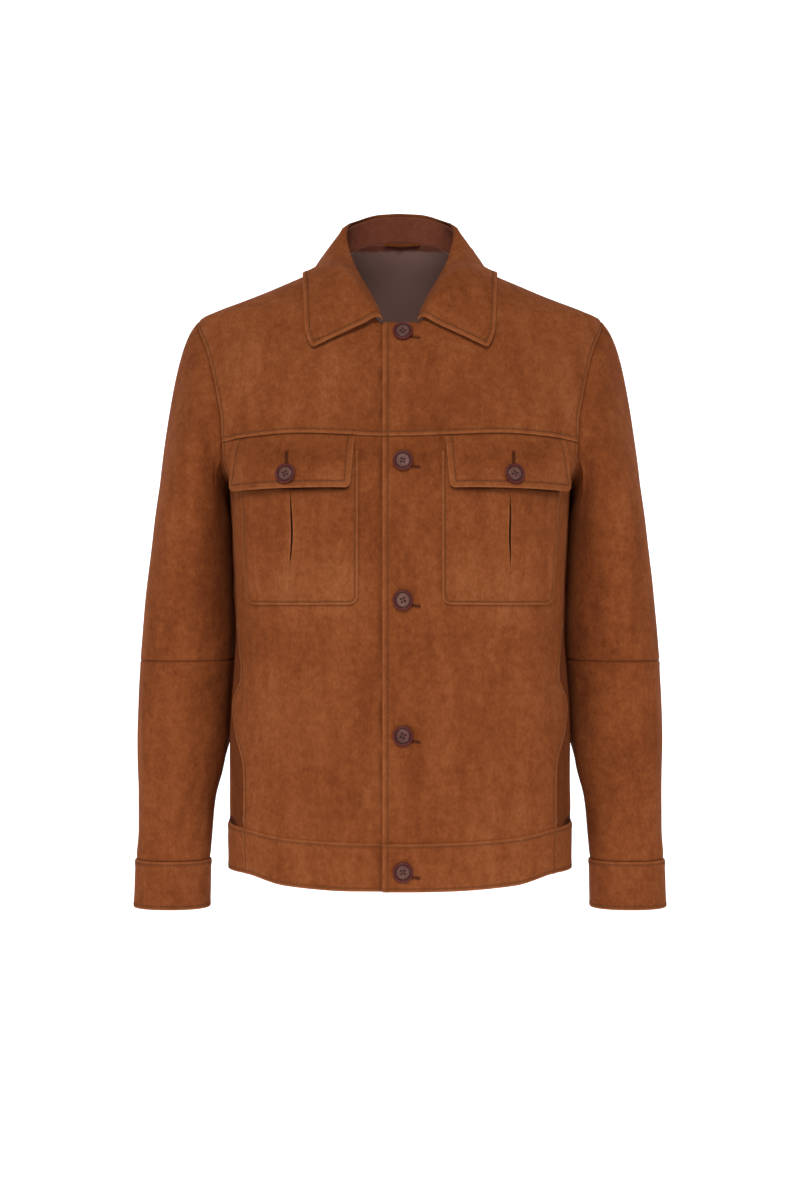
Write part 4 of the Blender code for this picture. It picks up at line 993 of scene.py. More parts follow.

# %% [markdown]
# ## How an edge sits
# A few kinds of edge are enough. A `turned` edge lies on top with its stitch line pressed in. An
# edge that goes `under` sinks away. A plain `seam` is a small valley between two soft banks, and a
# `faint` one hardly shows. A `free` edge is the folded hem of a pocket, flap, collar or front. All
# of them pucker a little, because thread pulls harder than leather.
# %% Profiles of the edges
# The last column, dark, is painted shade: it darkens the colour in a seam's valley and where an edge goes
# under.
EdgeRow = namedtuple("EdgeRow", "raised raised_to bank valley stitch press pale dark")
EDGES = {
    "turned": EdgeRow(0.80, 9.0, 0.10, 0.0, 4.6, 0.60, 0.90, 0.0),
    "under": EdgeRow(-0.35, 5.0, 0.0, 0.25, 0.0, 0.0, 0.0, 0.9),
    "seam": EdgeRow(0.0, 1.0, 0.30, 0.55, 0.0, 0.0, 0.15, 0.7),
    "faint": EdgeRow(0.0, 1.0, 0.10, 0.40, 0.0, 0.0, 0.0, 0.6),
    "stitched": EdgeRow(0.55, 7.0, 0.15, 0.60, 4.4, 0.55, 0.70, 0.0),
    "free": EdgeRow(0.15, 9.0, 0.30, 0.0, 5.2, 0.55, 0.90, 0.0),
    "plain": EdgeRow(0.0, 1.0, 0.15, 0.0, 0.0, 0.0, 0.60, 0.0),
}
PUCKER_WAVES = [(0.43, 0.3, 0.20), (0.29, 1.9, 0.26), (0.71, 4.1, 0.12)]
STITCH_WIDE = 1.0
BANK_AT, BANK_WIDE = 3.6, 2.6
VALLEY_WIDE, PALE_WIDE, DARK_WIDE = 1.5, 1.8, 1.4
LIP_INSIDE, LIP_WIDE = 2.0, 1.0
SKIN_WAVES = (0.045, 0.075, 0.12)
BENEATH_OUT, BENEATH_WIDE = 1.5, 1.3


def pucker(run, seed):
    """A small uneven wave along a seam."""
    return sum(size * np.sin(rate * run + phase + seed) for rate, phase, size in PUCKER_WAVES)


def shape_edge(panel, name, kind, stitch=None, seed=0.0, pull=1.0):
    """Add one edge's raise, bank, valley and pressed stitch line to a panel's relief."""
    row = EDGES[kind]
    away = panel.away[name]
    wave = pucker(panel.run[name], seed) * pull
    near = 1 - smooth_step(row.raised_to * 0.45, row.raised_to * 1.5, away)
    panel.height += row.raised * near
    bank = row.bank + 0.30 * wave * (kind != "under")
    panel.height += bank * np.exp(-((away - BANK_AT) / BANK_WIDE) ** 2)
    panel.height -= row.valley * np.exp(-(away / VALLEY_WIDE) ** 2)
    pale = np.exp(-(away / PALE_WIDE) ** 2) * (1 + 0.6 * wave) * row.pale
    # Painted shade in a seam's valley and where an edge goes under.
    panel.mark("groove", row.dark * np.exp(-(away / DARK_WIDE) ** 2))
    panel.mark("edge", np.clip(pale, 0, 1))
    inset = row.stitch if stitch is None else stitch
    if inset:
        panel.stitches.append((name, inset))
        line = np.exp(-((away - inset) / STITCH_WIDE) ** 2)
        panel.height -= row.press * line * (1 + 0.4 * wave)
        panel.mark("groove", 0.75 * line)
        lip = np.exp(-((away - inset + LIP_INSIDE) / LIP_WIDE) ** 2)
        panel.mark("edge", 0.35 * lip)


def unevenness(points, seed, size):
    """A slow unevenness of the skin itself."""
    total = np.zeros(len(points))
    for k, wave in enumerate(SKIN_WAVES):
        direction = np.array([math.sin(seed + 2.1 * k), 0.6 * math.cos(1.7 * seed + k),
                              math.cos(seed - 1.3 * k)])
        total += np.sin(points @ direction * wave + seed * (k + 1)) / (k + 1)
        sideways = np.array([direction[2], direction[0], -direction[1]])
        total += np.sin(points @ sideways * wave * 1.3 + 2 * seed + k) / (k + 1)
    return total * size / 3


def shade_beneath(panel, side):
    """Painted shadow: the lower front is darkened along the upper front's edge, which overlaps it."""
    if side < 0:
        line = np.exp(-((panel.points[:, 0] - LAP - BENEATH_OUT) / BENEATH_WIDE) ** 2)
        panel.mark("groove", 0.9 * line)


print("kinds of edge:", ", ".join(EDGES))

# %% [markdown]
# ## Brushed nap
# A few broad strokes make some places paler and some darker, as in the photograph: pale pocket
# corners and flap ends, a darker band under the yoke seam and beside the front edge. Each row is
# a soft spot on the front, seen from the front.
# %% Nap spots
NapRow = namedtuple("NapRow", "x z wide tall amount")
NAP_SPOTS = table(NapRow, [
    (-118, -350, 34, 34, 0.22), (-62, -350, 22, 30, 0.30), (-62, -240, 14, 18, 0.18),
    (-120, -218, 50, 14, -0.36), (-72, -220, 26, 16, -0.30), (-30, -215, 22, 40, -0.22),
    (-166, -236, 14, 24, 0.45),
    (118, -350, 34, 34, 0.20), (66, -350, 24, 30, 0.28), (166, -236, 14, 24, 0.45),
    (120, -218, 50, 14, -0.34), (76, -222, 26, 16, -0.28), (26, -225, 20, 36, -0.18),
    (-165, -110, 30, 50, 0.16), (165, -112, 30, 50, 0.16), (-95, -150, 60, 30, 0.08),
    (-140, -410, 40, 26, -0.22), (142, -412, 40, 26, -0.20), (-100, -470, 70, 50, 0.10),
    (95, -480, 70, 50, 0.12), (-60, -560, 60, 30, 0.06),
    (-70, -490, 90, 120, -0.10), (70, -490, 90, 120, -0.10), (-20, -330, 18, 90, -0.10),
    (22, -400, 18, 120, -0.12), (-230, -250, 26, 90, 0.06), (232, -250, 26, 90, 0.06),
    (-205, -330, 14, 150, -0.30), (205, -330, 14, 150, -0.30), (-240, -520, 24, 60, 0.10),
    (240, -520, 24, 60, 0.08), (-70, -60, 22, 30, 0.12), (72, -60, 22, 30, 0.12),
])


def brush_nap(panel, side):
    x = panel.points[:, 0] * side
    z = panel.points[:, 2]
    for row in NAP_SPOTS:
        off = ((x - row.x) / row.wide) ** 2 + ((z - row.z) / row.tall) ** 2
        panel.marks["nap"] += row.amount * np.exp(-off) * (panel.points[:, 1] < 10)


print("nap spots:", len(NAP_SPOTS))

# %% [markdown]
# ## Thickness, rim and object
# The outer face is moved along the normals by its relief, and the inner face lies one wall inside
# it. Near every open edge both faces curve towards the middle of the wall, a quarter round each,
# so the closed rim looks like folded leather and not like a cut sheet of card.
# %% Turn a panel into a closed shell
ROUND_SHARE = 0.44
Sewn = namedtuple("Sewn", "surface normals panel")
sewn = {}


def shell_faces(panel, mirrored):
    """Outer faces, inner faces and the strip that closes the rim."""
    count = len(panel.points)
    outer = panel.quads
    inner = panel.quads[:, ::-1] + count
    strip = np.array([(b, a, a + count, b + count) for a, b in panel.rim_loops()])
    faces = np.concatenate([outer, inner] + ([strip] if len(strip) else []))
    return (faces[:, ::-1] if mirrored else faces).tolist()


def make_mesh(name, points, faces, material, marks=None):
    mesh = bpy.data.meshes.new(name)
    mesh.from_pydata((points * MM).tolist(), [], faces)
    mesh.materials.append(material)
    mesh.shade_smooth()
    for mark, values in (marks or {}).items():
        attribute = mesh.attributes.new(mark, "FLOAT", "POINT")
        attribute.data.foreach_set("value", np.asarray(values, np.float32))
    return add_object(name, mesh)


def make_cloth(name, panel, wall, material, seed, uneven=0.35, lift=0.0, side=1):
    """The finished shell of a panel. Its outer face is kept for the stitching.

    `uneven` is how far the skin itself wanders, and the seed makes each piece wander its own way.
    """
    rim = np.full(len(panel.points), FAR)
    for away in panel.away.values():
        rim = np.minimum(rim, away)
    radius = wall * ROUND_SHARE
    turn_in = radius - np.sqrt(np.maximum(radius ** 2 - np.maximum(radius - rim, 0) ** 2, 0))
    brush_nap(panel, side)
    skin = unevenness(panel.points * (side, 1, 1), seed, uneven) * smooth_step(0, 20, rim)
    lift = lift + panel.lift
    relief = panel.height + skin + lift
    surface = panel.points + panel.normals * (relief - turn_in)[:, None]
    depth = np.minimum(relief, lift) * 0.5 + lift * 0.5 - wall + turn_in
    inside = panel.points + panel.normals * depth[:, None]
    points = np.concatenate([surface, inside])
    flip = np.array([side, 1, 1])
    marks = {key: np.concatenate([value, value * 0.3]) for key, value in panel.marks.items()}
    piece = make_mesh(name, points * flip, shell_faces(panel, side < 0), material, marks)
    sewn[name] = Sewn(surface * flip, panel.normals * flip, panel)
    return piece


def sew_on(piece, node):
    """Put a piece in its place in the frame and say how it was cut."""
    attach(piece, "root")
    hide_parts(node)
    panel = sewn[piece.name].panel
    width, length = panel.flat
    area = min(max(panel.area, 0.3 * width * length), width * length)
    print(f"{piece.name}: cut from {width:.3f} x {length:.3f} m, {area:.4f} m2, "
          f"{len(piece.data.polygons)} faces")


print("shells are ready to be cut")

# %% [markdown]
# ## The yokes and the fronts
# The yoke is the top of the front, from the shoulder down to the cross seam, and its lower edge
# is turned over the front and stitched. Each front carries the button edge, with the left one on
# top. At the side it ends in a long turned edge, which bows outwards as the mouth of the hand
# pocket. The overlap lifts one front and lowers the other, fading out to the sides.
# %% Lay out the front pieces


def lap_lift(x, step, side):
    """How far a front stands out or in near the overlap."""
    return side * step * (1 - smooth_step(LAP_FLAT_TO, LAP_FADES_BY, x))


armhole_yoke = line_through(ARMHOLE_YOKE)
armhole_front = line_through(ARMHOLE_FRONT)
armhole_under = line_through(ARMHOLE_UNDER)
armhole_back = line_through(ARMHOLE_BACK)
side_seam = line_through(SIDE_SEAM)
shoulder = straight((90, 0), (90, -61))
yoke_seam = line_along(yoke_z, float(front_angle(-LAP, YOKE_SEAM[0].z)), YOKE_SEAM[-1].angle)
band_front = line_along(band_z, float(front_angle(-LAP, BAND_SEAM[0].z)), SIDE_SEAM[0].angle)
band_back = line_along(band_z, SIDE_SEAM[0].angle, 180)
front_edge = centre_edge(BAND_SEAM[0].z, YOKE_SEAM[0].z)
yoke_edge = centre_edge(YOKE_SEAM[0].z, NECKLINE[0].z)
neck_front = line_along(neck_z, float(front_angle(-LAP, NECKLINE[0].z)), 90)
neck_back = line_along(neck_z, 180, 90)
hem_front = line_along(hem_z, float(front_angle(-LAP, HEM[0].z)), SIDE_SEAM[0].angle)
hem_back = line_along(hem_z, SIDE_SEAM[0].angle, 180)
front_patch = four_sided(band_front, yoke_seam, front_edge, join_lines(side_seam, armhole_front[::-1]))
yoke_patch = four_sided(yoke_seam, shoulder, join_lines(yoke_edge, neck_front), armhole_yoke[::-1])
SIDES = (("left", 1), ("right", -1))
TUCK = 1.8
TUCK_FROM = 14.0


def tuck_under(places):
    """The body's lowest rows are drawn down a little, into the waistband's seam."""
    near = 1 - smooth_step(0, TUCK_FROM, places[..., 1] - band_z(places[..., 0]))
    return np.stack([places[..., 0], places[..., 1] - TUCK * near], -1)


AROUND = 190


def armhole_ring(side):
    """The armhole from the shoulder point down the front and up the back.

    It gives the turns, the places, and the way that body and sleeve both face there.
    """
    line = join_lines(armhole_yoke, armhole_front, armhole_under, armhole_back)
    under = len(join_lines(armhole_yoke, armhole_front, armhole_under)) - 1
    points = on_body(line, side)
    facing = body_normal(line[:, 0], line[:, 1], side)
    run = np.concatenate([[0], np.cumsum(np.linalg.norm(np.diff(points, axis=0), axis=1))])
    turn = np.where(run <= run[under], 180 * run / run[under],
                    180 + 180 * (run - run[under]) / (run[-1] - run[under]))
    turns = np.linspace(0, 360, AROUND + 1)
    seam, body_way = (np.stack([np.interp(turns, turn, rows[:, axis]) for axis in range(3)], -1)
                      for rows in (points, facing))
    outward = sleeve_head_point(seam, turns, 0.04 + 0 * turns, side) - seam
    sleeve_way = unit(np.cross(np.gradient(seam, axis=0), outward))
    sleeve_way = sleeve_way * np.sign((sleeve_way * body_way).sum(1, keepdims=True))
    lean = unit(body_way + sleeve_way)
    lean[0] = lean[-1] = unit(lean[0] + lean[-1])
    return turns, seam, lean


def armhole_part(side, part):
    """The armhole's line and lean along one body piece."""
    turns, seam, lean = armholes[side]
    ends = np.cumsum([length_of(on_body(line, side))
                      for line in (armhole_yoke, armhole_front, armhole_under)])
    turn_yoke, turn_front = ends[0] / ends[2] * 180, ends[1] / ends[2] * 180
    keep = {"yoke": turns <= turn_yoke + 2.5, "back": turns >= turn_front - 2.5,
            "front": (turns >= turn_yoke - 2.5) & (turns <= turn_front + 2.5)}[part]
    return seam[keep], lean[keep]


armholes = {side: armhole_ring(side) for _, side in SIDES}
print("the armhole is", round(length_of(armholes[1][1]), 1), "mm round")

# %% Sew the fronts
for word, side in SIDES:
    panel = Panel([on_body(tuck_under(front_patch), side)])
    for name, line in (("edge", front_edge), ("band", band_front), ("yoke", yoke_seam),
                       ("side", side_seam)):
        panel.seam(name, on_body(tuck_under(line), side))
    panel.seam("armhole", *armhole_part(side, "front"))
    shape_edge(panel, "edge", "free", seed=side)
    shape_edge(panel, "band", "under", seed=2 + side)
    shape_edge(panel, "yoke", "under", seed=3 + side)
    shape_edge(panel, "side", "turned", seed=4 + side, pull=1.2)
    shape_edge(panel, "armhole", "stitched", seed=5 + side)
    shade_beneath(panel, side)
    piece = make_cloth(f"front_{word}_cloth", panel, WALL, SUEDE,
                       1.3 * side, 0.45, lap_lift(panel.points[:, 0], LAP_STEP, side), side)
    sew_on(piece, f"front_{word}")

# %% Sew the yokes
for word, side in SIDES:
    panel = Panel([on_body(yoke_patch, side)])
    for name, line in (("edge", yoke_edge), ("neck", neck_front), ("yoke", yoke_seam),
                       ("shoulder", shoulder)):
        panel.seam(name, on_body(line, side))
    panel.seam("armhole", *armhole_part(side, "yoke"))
    shape_edge(panel, "edge", "free", seed=side)
    shape_edge(panel, "neck", "under", seed=2 + side)
    shape_edge(panel, "yoke", "turned", seed=3 + side)
    shape_edge(panel, "shoulder", "seam", seed=4 + side)
    shape_edge(panel, "armhole", "stitched", seed=5 + side)
    shade_beneath(panel, side)
    piece = make_cloth(f"yoke_{word}_cloth", panel, WALL, SUEDE,
                       2.1 * side, 0.4, lap_lift(panel.points[:, 0], LAP_STEP, side), side)
    sew_on(piece, f"yoke_{word}")

# %% [markdown]
# ## The back
# The back is one piece from side seam to side seam. It is laid as four patches that share the
# line between the underarms and the centre line, welded into one sheet, so no join shows.
# Its side edges slip under the fronts' turned edges, with a hollow by each hand pocket.
# %% Lay out the back
under_line = straight((90, UNDERARM_Z), (180, UNDERARM_Z))
back_low_line = straight((180, BAND_SEAM[-1].z), (180, UNDERARM_Z))
back_high_line = straight((180, UNDERARM_Z), (180, NECKLINE[-1].z))
UNDER_SHARE = 0.22
under_places = spread(length_of(on_body(armhole_under)), True, False)
line_places = spread(length_of(on_body(under_line)), False, False)
across_low = np.concatenate([under_places * UNDER_SHARE,
                             UNDER_SHARE + line_places[1:] * (1 - UNDER_SHARE)])
up_low = spread(length_of(on_body(side_seam)), True, False)
top_low = np.concatenate([walk(armhole_under, under_places), walk(under_line, line_places)[1:]])
back_low = fill_patch(walk(band_back, across_low), top_low, walk(side_seam, up_low),
                      walk(back_low_line, up_low), across_low, up_low)
up_high = spread(length_of(on_body(armhole_back)), False, True)
spine = join_lines(walk(back_high_line, np.linspace(0, 1, DENSE + 1)), neck_back)
back_high = fill_patch(walk(under_line, line_places), walk(shoulder[::-1], line_places),
                       walk(armhole_back, up_high), walk(spine, up_high), line_places, up_high)


def both_sides(patch, extra=()):
    """A patch of the left side and its turned-over twin of the right, as point grids."""
    left = on_body(patch, 1, extra)
    right = on_body(patch, -1, extra) * (-1, 1, 1)
    return [left, right[:, ::-1]]


def seam_both_sides(panel, name, line, extra=()):
    """Measure a seam on a piece that crosses the middle."""
    for _, side in SIDES:
        panel.seam(name, on_body(line, side, extra) * (side, 1, 1))


print("rows of the back, below and above the underarm:", len(back_low), len(back_high))

# %% Sew the back
SHADE_LOW_FROM, SHADE_LOW_FULL = 215.0, 300.0
BESIDE_FULL, BESIDE_ENDS = 22.0, 48.0
HOLLOW_FROM_X, HOLLOW_FULL_X = 166.0, 186.0
HOLLOW_FULL_Y, HOLLOW_ENDS_Y = 20.0, 60.0
HOLLOW_TOP, HOLLOW_RISE = -601.0, 9.0


def shade_beside_pockets(panel):
    """Painted shade: the back is darkened beside its side seams and painted nearly black down in the hollow
    above the waistband.
    """
    x, y, z = panel.points.T
    beside = ((1 - smooth_step(BESIDE_FULL, BESIDE_ENDS, panel.away["side"]))
              * smooth_step(SHADE_LOW_FROM, SHADE_LOW_FULL, -z))
    panel.mark("groove", 0.8 * beside)
    panel.marks["nap"] -= 0.5 * beside
    outward = (smooth_step(HOLLOW_FROM_X, HOLLOW_FULL_X, abs(x))
               * (1 - smooth_step(HOLLOW_FULL_Y, HOLLOW_ENDS_Y, y)))
    wedge = smooth_step(-2, 2, outward * HOLLOW_RISE + HOLLOW_TOP - z) * outward ** 0.3
    panel.mark("groove", 1.3 * wedge)


panel = Panel(both_sides(tuck_under(back_low), BACK_CREASES) + both_sides(back_high, BACK_CREASES), halves=2)
for name, line in (("band", band_back), ("side", side_seam), ("neck", neck_back), ("shoulder", shoulder)):
    seam_both_sides(panel, name, tuck_under(line), BACK_CREASES)
for _, side in SIDES:
    seam, lean = armhole_part(side, "back")
    panel.seam("armhole", seam * (side, 1, 1), lean * (side, 1, 1))
shape_edge(panel, "band", "under", seed=1)
shape_edge(panel, "side", "under", seed=2)
shape_edge(panel, "neck", "under", seed=3)
shape_edge(panel, "shoulder", "seam", seed=4)
shape_edge(panel, "armhole", "stitched", seed=5)
shade_beside_pockets(panel)
piece = make_cloth("back_cloth", panel, WALL, SUEDE, 0.7, 0.6)
sew_on(piece, "back")

# %% [markdown]
# ## The waistband
# The band is doubled and firm, so it stands a little proud of the body and has rounder edges. It
# is stitched along its top, its hem and its front ends. At the sides its front part ends in a
# raised seam over the back part.
# %% Sew the waistband's front parts
BAND_INSET = 3.6
BAND_SIDE_INSET = 3.8
band_end = straight(hem_front[0], band_front[0])
band_side = straight(hem_front[-1], band_front[-1])
band_spine = straight(hem_back[-1], band_back[-1])
band_front_patch = four_sided(hem_front, band_front, band_end, band_side)
for word, side in SIDES:
    panel = Panel([on_body(band_front_patch, side)])
    for name, line in (("top", band_front), ("hem", hem_front), ("end", band_end), ("side", band_side)):
        panel.seam(name, on_body(line, side))
    shape_edge(panel, "top", "stitched", BAND_INSET, seed=side)
    shape_edge(panel, "hem", "free", BAND_INSET, seed=2 + side)
    shape_edge(panel, "end", "free", seed=3 + side)
    shape_edge(panel, "side", "turned", BAND_SIDE_INSET, seed=4 + side)
    shade_beneath(panel, side)
    piece = make_cloth(f"waistband_{word}_cloth", panel, BAND_WALL, SUEDE, 3.1 * side, 0.4,
                       lap_lift(panel.points[:, 0], BAND_LAP_STEP, side) + BAND_PROUD, side)
    sew_on(piece, f"waistband_{word}")

# %% Sew the waistband's back part
across_band = spread(length_of(on_body(band_back)), True, False)
up_band = spread(length_of(on_body(band_side)))
band_back_patch = fill_patch(walk(hem_back, across_band), walk(band_back, across_band),
                             walk(band_side, up_band), walk(band_spine, up_band), across_band, up_band)
panel = Panel(both_sides(band_back_patch), halves=2)
for name, line in (("top", band_back), ("hem", hem_back), ("side", band_side)):
    seam_both_sides(panel, name, line)
shape_edge(panel, "top", "stitched", BAND_INSET, seed=1)
shape_edge(panel, "hem", "free", BAND_INSET, seed=2)
shape_edge(panel, "side", "under", seed=3)
piece = make_cloth("waistband_back_cloth", panel, BAND_WALL, SUEDE, 4.4, 0.5, BAND_PROUD)
sew_on(piece, "waistband_back")

# %% [markdown]
# ## The sleeves and cuffs
# A set-in sleeve starts as the armhole itself and flows into a tube. It is cut in two at the
# elbow, with a plain seam there, and ends in a cuff that is a little wider. Turns run round the
# sleeve by the armhole's own length, so the cloth isn't twisted.
# %% Sew the sleeves and cuffs
HEAD_LENGTH = 150.0
SLEEVE_NAP = -0.16
CUFF_TOP_INSET, CUFF_HEM_INSET = 3.6, 3.8


def sleeve_tube(turns, top, low, shares, side):
    """Rows of the sleeve at shares of the way from one level down to another."""
    heights = (top - shares * (top - low))[:, None]
    grid = sleeve_point(turns + 0 * heights, heights + 0 * turns, side)
    grid[:, -1] = grid[:, 0]
    return grid


def upright(grid):
    """Rows that run down and turns that run left, both turned round."""
    return grid[::-1, ::-1]


for word, side in SIDES:
    turns, seam, lean = armholes[side]
    shares = spread(HEAD_LENGTH, True, False)
    head = sleeve_head_point(seam[None] + 0 * shares[:, None, None], turns[None] + 0 * shares[:, None],
                             shares[:, None] + 0 * turns[None], side)
    head[:, -1] = head[:, 0]
    upper = sleeve_tube(turns, BICEP_Z, ELBOW_Z, spread(BICEP_Z - ELBOW_Z, False, True), side)
    head[-1] = upper[0]
    panel = Panel([upright(np.concatenate([head, upper[1:]]))])
    panel.seam("armhole", seam, lean)
    panel.seam("elbow", upper[-1])
    shape_edge(panel, "armhole", "seam", seed=side)
    shape_edge(panel, "elbow", "faint", seed=1 + side)
    panel.marks["nap"] += SLEEVE_NAP
    piece = make_cloth(f"sleeve_upper_{word}_cloth", panel, WALL, SUEDE, 5.2 * side, 0.5, side=side)
    sew_on(piece, f"sleeve_upper_{word}")

    lower = sleeve_tube(turns, ELBOW_Z, CUFF_SEAM_Z, spread(ELBOW_Z - CUFF_SEAM_Z), side)
    panel = Panel([upright(lower)])
    panel.seam("elbow", lower[0])
    panel.seam("cuff", lower[-1])
    shape_edge(panel, "elbow", "faint", seed=1 + side)
    shape_edge(panel, "cuff", "under", seed=2 + side)
    panel.marks["nap"] += SLEEVE_NAP
    piece = make_cloth(f"sleeve_lower_{word}_cloth", panel, WALL, SUEDE, 6.2 * side, 0.5, side=side)
    sew_on(piece, f"sleeve_lower_{word}")

    cuff = sleeve_tube(turns, CUFF_SEAM_Z, CUFF_HEM_Z, spread(CUFF_SEAM_Z - CUFF_HEM_Z), side)
    panel = Panel([upright(cuff)])
    panel.seam("top", cuff[0])
    panel.seam("hem", cuff[-1])
    shape_edge(panel, "top", "stitched", CUFF_TOP_INSET, seed=3 + side)
    shape_edge(panel, "hem", "free", CUFF_HEM_INSET, seed=4 + side)
    piece = make_cloth(f"cuff_{word}_cloth", panel, CUFF_WALL, CUFF_SUEDE, 7.2 * side, 0.3,
                       BAND_PROUD, side)
    sew_on(piece, f"cuff_{word}")

# %% [markdown]
# ## The lining
# Only the part that shows through the neck is lined. It hangs just inside the back, from the
# neck seam to the line between the underarms, with soft upright waves, because a lining is cut
# a little wider than the cloth outside it. Its neck edge runs a little way up the stand, as it
# is sewn to it.
# %% Hang the lining
LINING_RISE = 2.8
LINING_RISE_SIDE = 5.6
FACING_LEVEL, FACING_SLOPE = 14.4, 0.173
FACING_FULL = 4.0
LINING_SLACK = 0.9


def raise_neck(places):
    """Places of the lining with its neck edge drawn up on to the stand."""
    near = smooth_step(NECKLINE[-1].z - 60, NECKLINE[-1].z - 8, places[..., 1])
    behind = smooth_step(95, 110, places[..., 0])
    rise = LINING_RISE + LINING_RISE_SIDE * (1 - smooth_step(140, 178, places[..., 0]))
    return np.stack([places[..., 0], places[..., 1] + near * behind * rise], -1)


panel = Panel(both_sides(raise_neck(back_high)), halves=2)
for name, line in (("neck", raise_neck(neck_back)), ("shoulder", shoulder), ("armhole", armhole_back),
                   ("under", under_line)):
    seam_both_sides(panel, name, line)
above = panel.points[:, 2] - FACING_LEVEL - FACING_SLOPE * panel.points[:, 1]
panel.marks["facing"] = FACING_FULL * smooth_step(-0.4, 0.4, above)
waves = 1 + np.sin(panel.points[:, 0] * 0.085 + 0.6 * np.sin(panel.points[:, 2] * 0.03))
held = smooth_step(2, 30, panel.away["neck"]) * smooth_step(2, 25, panel.away["armhole"])
panel.height -= LINING_SLACK * waves * held
panel.points = panel.points - panel.normals * (WALL + LINING_GAP)
piece = make_cloth("lining_back_cloth", panel, LINING_WALL, LINING, 8.0, 0.2)
sew_on(piece, "lining_back")

# %% [markdown]
# ## The collar
# A shirt collar is two pieces: a stand that rises from the neck seam, and a fall that turns over
# it along the roll line and lies down to its points. A table gives the roll and the leaf's edge
# at eleven places round half the neck. The leaf must rest on the shoulders, so each of its points
# is lifted off the body until it has its clearance.
# %% Collar stations
CollarRow = namedtuple("CollarRow", "angle roll_x roll_y roll_z edge_x edge_y edge_z sag")
COLLAR = table(CollarRow, [
    (180, 0, 86, 69, 0, 97, -5, 0),
    (160, 24, 83, 67, 37, 92, -6, 0),
    (138, 44, 71, 60, 70, 76, -9, 0),
    (115, 56, 51, 52, 94, 50, -11, 1),
    (95, 60, 31, 43, 103, 22, -15.5, 2),
    (78, 58.5, 14, 24, 103, -4, -16.5, 2),
    (62, 54, -3, 5, 102.5, -39, -27, 0),
    (48, 46.5, -22, -14.5, 101.5, -62, -44, 0),
    (34, 36.4, -43, -34.6, 100.5, -79, -66, 0),
    (22, 26.5, -63, -54.6, 99, -89, -85, 0),
    (13, 16.5, -93, -73.5, 92, -97.5, -103.5, 0),
])
COLLAR_WALL = 2.0
COLLAR_CLEAR = 2.2
STAND_CLEAR = 2.4
STAND_ENDS = 0.86
ROLL_HALF = 2.0
CREST_FROM, CREST_TO = 22.0, 40.0
STAND_BEHIND = 0.5
ROLL_RISE = 1.8
ROLL_END_DROP = 1.0
REST_PASSES = 3
REST_SOFTNESS = 1.5
REST_REACH = 12.0
REST_EASE = 0.6
FALL_SHARES = (0.0, 0.12, 0.25, 0.42, 0.60, 0.80, 1.0)
OVER_SEAM = 0.25
OVER_SEAM_OUT = 4.6
OVER_SEAM_UP = 2.0
OVER_SEAM_FROM, OVER_SEAM_TO = 72.0, 50.0
Station = namedtuple("Station", "angle seam normal roll rise out edge sag")
UP = np.array([0.0, 0.0, 1.0])


def collar_stations(places):
    """The collar table read at places from 0 (centre back) to 10 (front end)."""
    index = np.arange(len(COLLAR))
    curves = {name: smooth_curve(index, [getattr(row, name) for row in COLLAR])
              for name in COLLAR[0]._fields}

    def read(names, at):
        return np.stack([curves[name](at) for name in names], -1)
    rolls = ("roll_x", "roll_y", "roll_z")
    angle = curves["angle"](places)
    roll = read(rolls, places)
    seam = body_point(angle, neck_z(angle))
    along = read(rolls, places + 0.3) - read(rolls, np.maximum(places - 0.3, 0))
    rise = unit(roll - seam)
    return Station(angle, seam, body_normal(angle, neck_z(angle)), roll, rise,
                   unit(np.cross(rise, along)), read(("edge_x", "edge_y", "edge_z"), places),
                   curves["sag"](places))


def body_clearance(points):
    """How far points stand outside the body, and the way out from it."""
    def level(p):
        middle = body_curve["middle"](p[..., 2])
        depth = np.where(p[..., 1] < middle, middle - body_curve["front"](p[..., 2]),
                         body_curve["back"](p[..., 2]) - middle)
        power = body_curve["squareness"](p[..., 2])
        width = body_curve["half_width"](p[..., 2])
        return ((abs(p[..., 0]) / width) ** power
                + (abs(p[..., 1] - middle) / depth) ** power) ** (1 / power)
    step = 0.5
    slope = np.stack([(level(points + axis) - level(points - axis)) / (2 * step)
                      for axis in np.eye(3) * step], -1)
    steep = np.linalg.norm(slope, axis=-1)
    return (level(points) - 1) / steep, slope / steep[..., None]


def rest_on_body(points, clear):
    """Lift points off the body until they have their clearance, with a soft start."""
    for _ in range(REST_PASSES):
        away, out = body_clearance(points)
        short = clear - away
        rise = np.log1p(np.exp(np.clip(short / REST_SOFTNESS, -60, REST_REACH)))
        rise = np.where(short < -REST_REACH, 0.0, rise)
        points = points + out * (REST_SOFTNESS * rise)[..., None]
        clear -= REST_EASE
    return points


def mix(first, second, share):
    share = np.asarray(share, float)
    return first + (second - first) * (share[..., None] if share.ndim else share)


